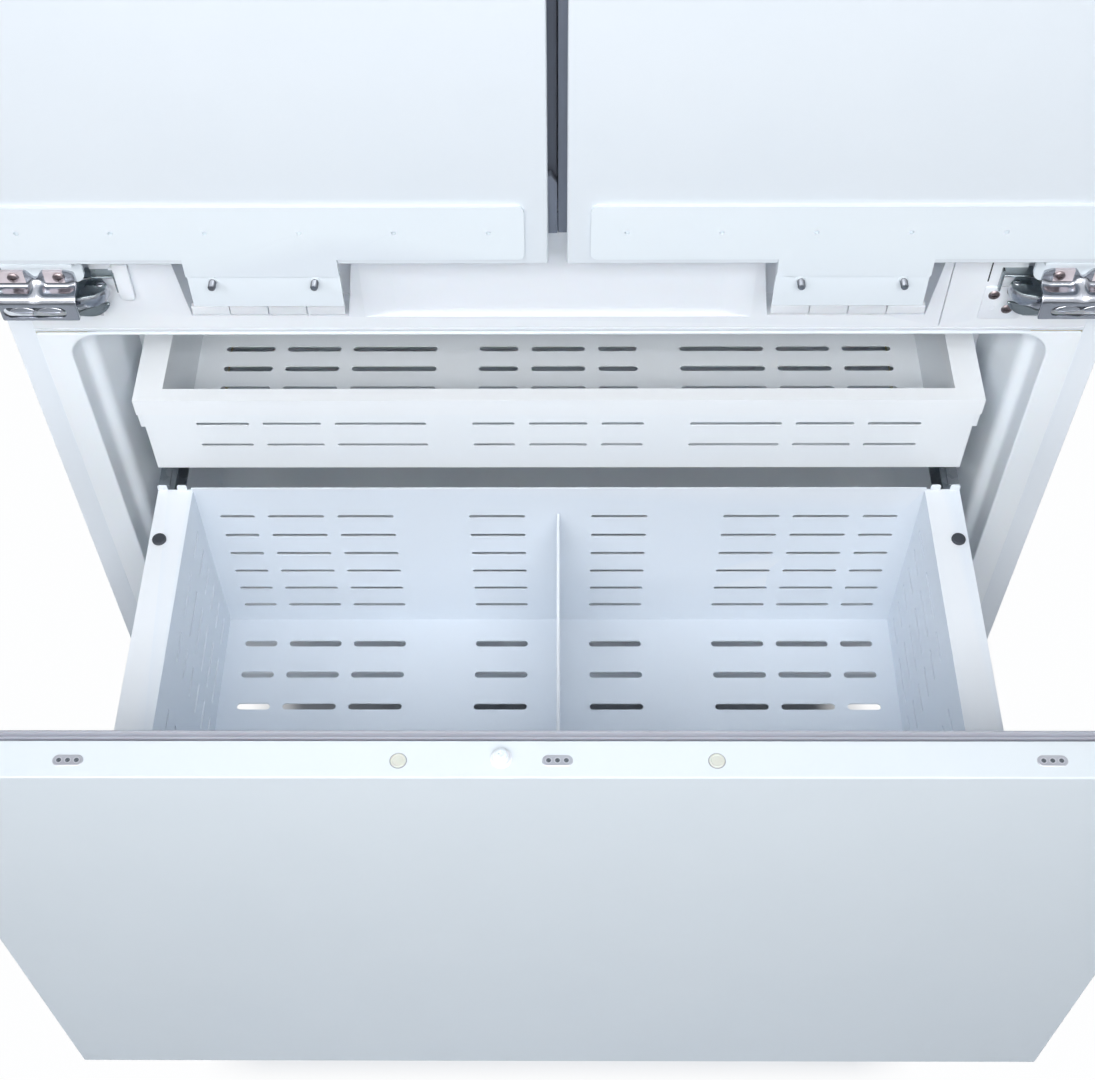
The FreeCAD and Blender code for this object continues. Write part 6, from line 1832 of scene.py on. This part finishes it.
@dataclass
class Studio:
    """Pale floor, white surroundings, soft lamps and the camera.

    Args:
        camera_place: The camera's place in the row frame.
        focal: Its focal length in pixels of the photograph.
        picture_width: The photograph's width in pixels.
        pitch: How far it looks down, in degrees.
        yaw: How far it looks to the left, in degrees.
        roll: How far it is turned, in degrees.
        shade_half_width: Half of the floor's shaded width, in metres.
        shade_half_depth: Half of its shaded depth, in metres.
        shade_fade: Width of the shaded part's soft edge, in metres.
        open_share: How much of the open floor the camera sees as plain white.
        floor_reach: Half of the floor's width, in metres.
        room_light: Strength of the room's light at the horizon and straight up.
        room_gloss: The same as gloss sees it.
        room_tint: Colour of the room's light, sRGB hex.
        gloss_tint: Colour of the room that gloss sees, sRGB hex.
        paper: The floor's own colour, sRGB hex.
        open_tones: The two tones of the open floor that the camera sees, sRGB hex.
        fibre: Length of the paper's fibres.
        target: What all lamps but the rear one point at, in metres.
    """

    camera_place: Triple = (1.91, -1006.25, 1654.03)
    focal: float = 1630.71
    picture_width: float = 1095.0
    pitch: float = 53.652
    yaw: float = 0.755
    roll: float = -0.628
    shade_half_width: float = 0.36
    shade_half_depth: float = 0.47
    shade_fade: float = 0.06
    open_share: float = 0.995
    floor_reach: float = 14.0
    room_light: Point = (0.03, 0.08)
    room_gloss: Point = (0.85, 1.1)
    room_tint: str = "#F4F8FF"
    gloss_tint: str = "#F7FAFF"
    paper: str = "#CDD3DB"
    open_tones: tuple[str, str] = ("#FFFFFF", "#FDFEFF")
    fibre: float = 3.0
    target: Triple = (0.0, -0.1, 0.6)

    def build(self) -> None:
        """Sets up the studio."""
        self.camera()
        self.world()
        self.floor()
        self.lamps()
        bpy.context.scene.view_settings.view_transform = "Standard"

    def camera(self) -> None:
        """Places the camera at the photograph's viewing angle."""
        pitch, yaw, roll = (math.radians(angle) for angle in (self.pitch, self.yaw, self.roll))
        ahead = Vector((-math.sin(yaw) * math.cos(pitch), math.cos(yaw) * math.cos(pitch), -math.sin(pitch)))
        right = Vector((math.cos(yaw), math.sin(yaw), 0))
        up = right.cross(ahead)
        right, up = (right * math.cos(roll) + up * math.sin(roll), up * math.cos(roll) - right * math.sin(roll))
        data = bpy.data.cameras.new("camera")
        data.sensor_width = 36.0
        data.lens = data.sensor_width * self.focal / self.picture_width
        data.clip_start = 0.01
        camera = bpy.data.objects.new("camera", data)
        turn = Matrix((right, up, -ahead)).transposed().to_4x4()
        camera.matrix_world = Matrix.Translation(Vector(self.camera_place) * MM) @ turn
        bpy.context.scene.collection.objects.link(camera)
        bpy.context.scene.camera = camera

    def world(self) -> None:
        """A white room: full white to the camera and through glass, paler overhead than at eye level in gloss."""
        world = bpy.data.worlds.new("studio_white")
        bpy.context.scene.world = world
        world.use_nodes = True
        tree = world.node_tree
        tree.nodes.clear()
        way = add_node(tree, "ShaderNodeTexCoord").outputs["Generated"]
        height = add_node(tree, "ShaderNodeSeparateXYZ", None, {"Vector": way}).outputs["Z"]
        path = add_node(tree, "ShaderNodeLightPath")
        room = add_node(tree, "ShaderNodeBackground", None, {
            "Color": linear_colour(self.room_tint), "Strength": self.rising(tree, height, self.room_light)})
        gloss = add_node(tree, "ShaderNodeBackground", None, {
            "Color": linear_colour(self.gloss_tint), "Strength": self.rising(tree, height, self.room_gloss)})
        white = add_node(tree, "ShaderNodeBackground", None, {
            "Color": linear_colour("#FFFFFF"), "Strength": 1.0})
        lit = add_node(tree, "ShaderNodeMixShader", None, {
            0: path.outputs["Is Glossy Ray"], 1: room.outputs[0], 2: gloss.outputs[0]})
        both = add_node(tree, "ShaderNodeMixShader", None, {
            0: self.directly_seen(tree, path), 1: lit.outputs[0], 2: white.outputs[0]})
        add_node(tree, "ShaderNodeOutputWorld", None, {"Surface": both.outputs[0]})

    def rising(self, tree: Tree, height: Socket, levels: Point) -> Socket:
        """Adds a strength that rises from the horizon to the ceiling.

        Args:
            tree: The node tree.
            height: How far a direction points up, from -1 to 1.
            levels: Strength at the horizon and straight up.

        Returns:
            The strength.
        """
        return add_node(tree, "ShaderNodeMapRange", None, {
            "Value": height, "From Min": 0.0, "From Max": 1.0, "To Min": levels[0],
            "To Max": levels[1]}).outputs["Result"]

    def directly_seen(self, tree: Tree, path: bpy.types.Node) -> Socket:
        """Tells rays of the camera, also those through glass, from the light's rays.

        Args:
            tree: The node tree.
            path: Its light path node.

        Returns:
            1 for what the camera sees.
        """
        return add_node(tree, "ShaderNodeMath", {"operation": "MAXIMUM"}, {
            0: path.outputs["Is Camera Ray"], 1: path.outputs["Is Transmission Ray"]}).outputs[0]

    def floor(self) -> None:
        """A pale seamless floor that keeps the object's shadow. Under the object a soft mask drops its white glow,
        so the grey paper shows there: real shadow plus painted shade.
        """
        shape = bmesh.new()
        reach = self.floor_reach
        corners = [shape.verts.new((x * reach, y * reach, 0)) for x, y in ((-1, -1), (1, -1), (1, 1), (-1, 1))]
        shape.faces.new(corners)
        mesh = bpy.data.meshes.new("studio_floor")
        shape.to_mesh(mesh)
        shape.free()
        floor = bpy.data.objects.new("studio_floor", mesh)
        bpy.context.scene.collection.objects.link(floor)
        material = bpy.data.materials.new("studio_paper")
        material.use_nodes = True
        tree = material.node_tree
        tree.nodes.clear()
        place = add_node(tree, "ShaderNodeTexCoord").outputs["Object"]
        fibres = add_node(tree, "ShaderNodeTexNoise", None, {
            "Vector": place, "Scale": 1 / (self.fibre * MM)})
        tone = add_node(tree, "ShaderNodeMix", {"data_type": "RGBA"}, {
            "Factor": fibres.outputs["Fac"], 6: linear_colour(self.open_tones[0]),
            7: linear_colour(self.open_tones[1])}).outputs[2]
        paper = add_node(tree, "ShaderNodeBsdfDiffuse", None, {"Color": linear_colour(self.paper)})
        glow = add_node(tree, "ShaderNodeEmission", None, {"Color": tone, "Strength": 1.0})
        seen = self.directly_seen(tree, add_node(tree, "ShaderNodeLightPath"))
        spot = add_node(tree, "ShaderNodeSeparateXYZ", None, {"Vector": place})
        # Painted shade: under the object the camera sees the grey paper instead of the white glow, on top of the
        # real shadow.
        under = add_node(tree, "ShaderNodeMath", {"operation": "MULTIPLY"}, {
            0: self.within(tree, spot.outputs["X"], self.shade_half_width),
            1: self.within(tree, spot.outputs["Y"], self.shade_half_depth)}).outputs[0]
        open_share = add_node(tree, "ShaderNodeMapRange", None, {
            "Value": under, "To Min": self.open_share, "To Max": 0.0}).outputs["Result"]
        share = add_node(tree, "ShaderNodeMath", {"operation": "MULTIPLY"}, {0: seen, 1: open_share}).outputs[0]
        both = add_node(tree, "ShaderNodeMixShader", None, {0: share, 1: paper.outputs[0], 2: glow.outputs[0]})
        add_node(tree, "ShaderNodeOutputMaterial", None, {"Surface": both.outputs[0]})
        mesh.materials.append(material)

    def within(self, tree: Tree, place: Socket, reach: float) -> Socket:
        """Adds a soft mask for the floor that the object covers, where the grey paper paints shade.

        Args:
            tree: The node tree.
            place: One coordinate, in metres.
            reach: Where the mask has faded, from the origin, in metres.

        Returns:
            1 under the object and 0 in the open.
        """
        away = add_node(tree, "ShaderNodeMath", {"operation": "ABSOLUTE"}, {0: place}).outputs[0]
        return add_node(tree, "ShaderNodeMapRange", None, {
            "Value": away, "From Min": reach - self.shade_fade, "From Max": reach, "To Min": 1.0,
            "To Max": 0.0}).outputs["Result"]

    def lamps(self) -> None:
        """A wide soft box above the camera, a fill below it, one at each side and one behind the object."""
        self.lamp("key", (0.0, -1.5, 2.1), self.target, (1.6, 0.7), 37.0)
        self.lamp("fill", (0.0, -2.3, 1.25), self.target, (1.6, 0.5), 8.0)
        self.lamp("side_left", (-1.3, -1.2, 2.0), self.target, (0.8, 0.8), 8.8)
        self.lamp("side_right", (1.3, -1.2, 2.0), self.target, (0.8, 0.8), 2.4)
        self.lamp("rear", (0.0, 2.6, 2.2), (0.0, 0.49, 1.0), (2.0, 1.0), 34.0)

    def lamp(self, name: str, place: Triple, aim: Triple, size: Point, power: float) -> None:
        """Adds one rectangular soft box.

        Args:
            name: Its name.
            place: Where it hangs, in metres.
            aim: The point that it lights, in metres.
            size: Its width and height, in metres.
            power: Its power in watts.
        """
        data = bpy.data.lights.new(name, "AREA")
        data.shape = "RECTANGLE"
        data.size, data.size_y = size
        data.energy = power
        lamp = bpy.data.objects.new(name, data)
        way = Vector(aim) - Vector(place)
        lamp.matrix_world = Matrix.Translation(place) @ way.to_track_quat("-Z", "Y").to_matrix().to_4x4()
        bpy.context.scene.collection.objects.link(lamp)


def main() -> None:
    """Builds the sub-assemblies in order, then the studio."""
    logging.basicConfig(level=logging.INFO, format="%(name)s %(message)s")
    CabinetBody().build()
    MachineRoom().build()
    FridgeInterior().build()
    Slides().build()
    FreezerBasket().build()
    for side in ("left", "right"):
        FridgeDoor(side).build()
    HingeMetal().build()
    FreezerDoor().build()
    LevellingFeet().build()
    Studio().build()


if __name__ == "__main__":
    main()
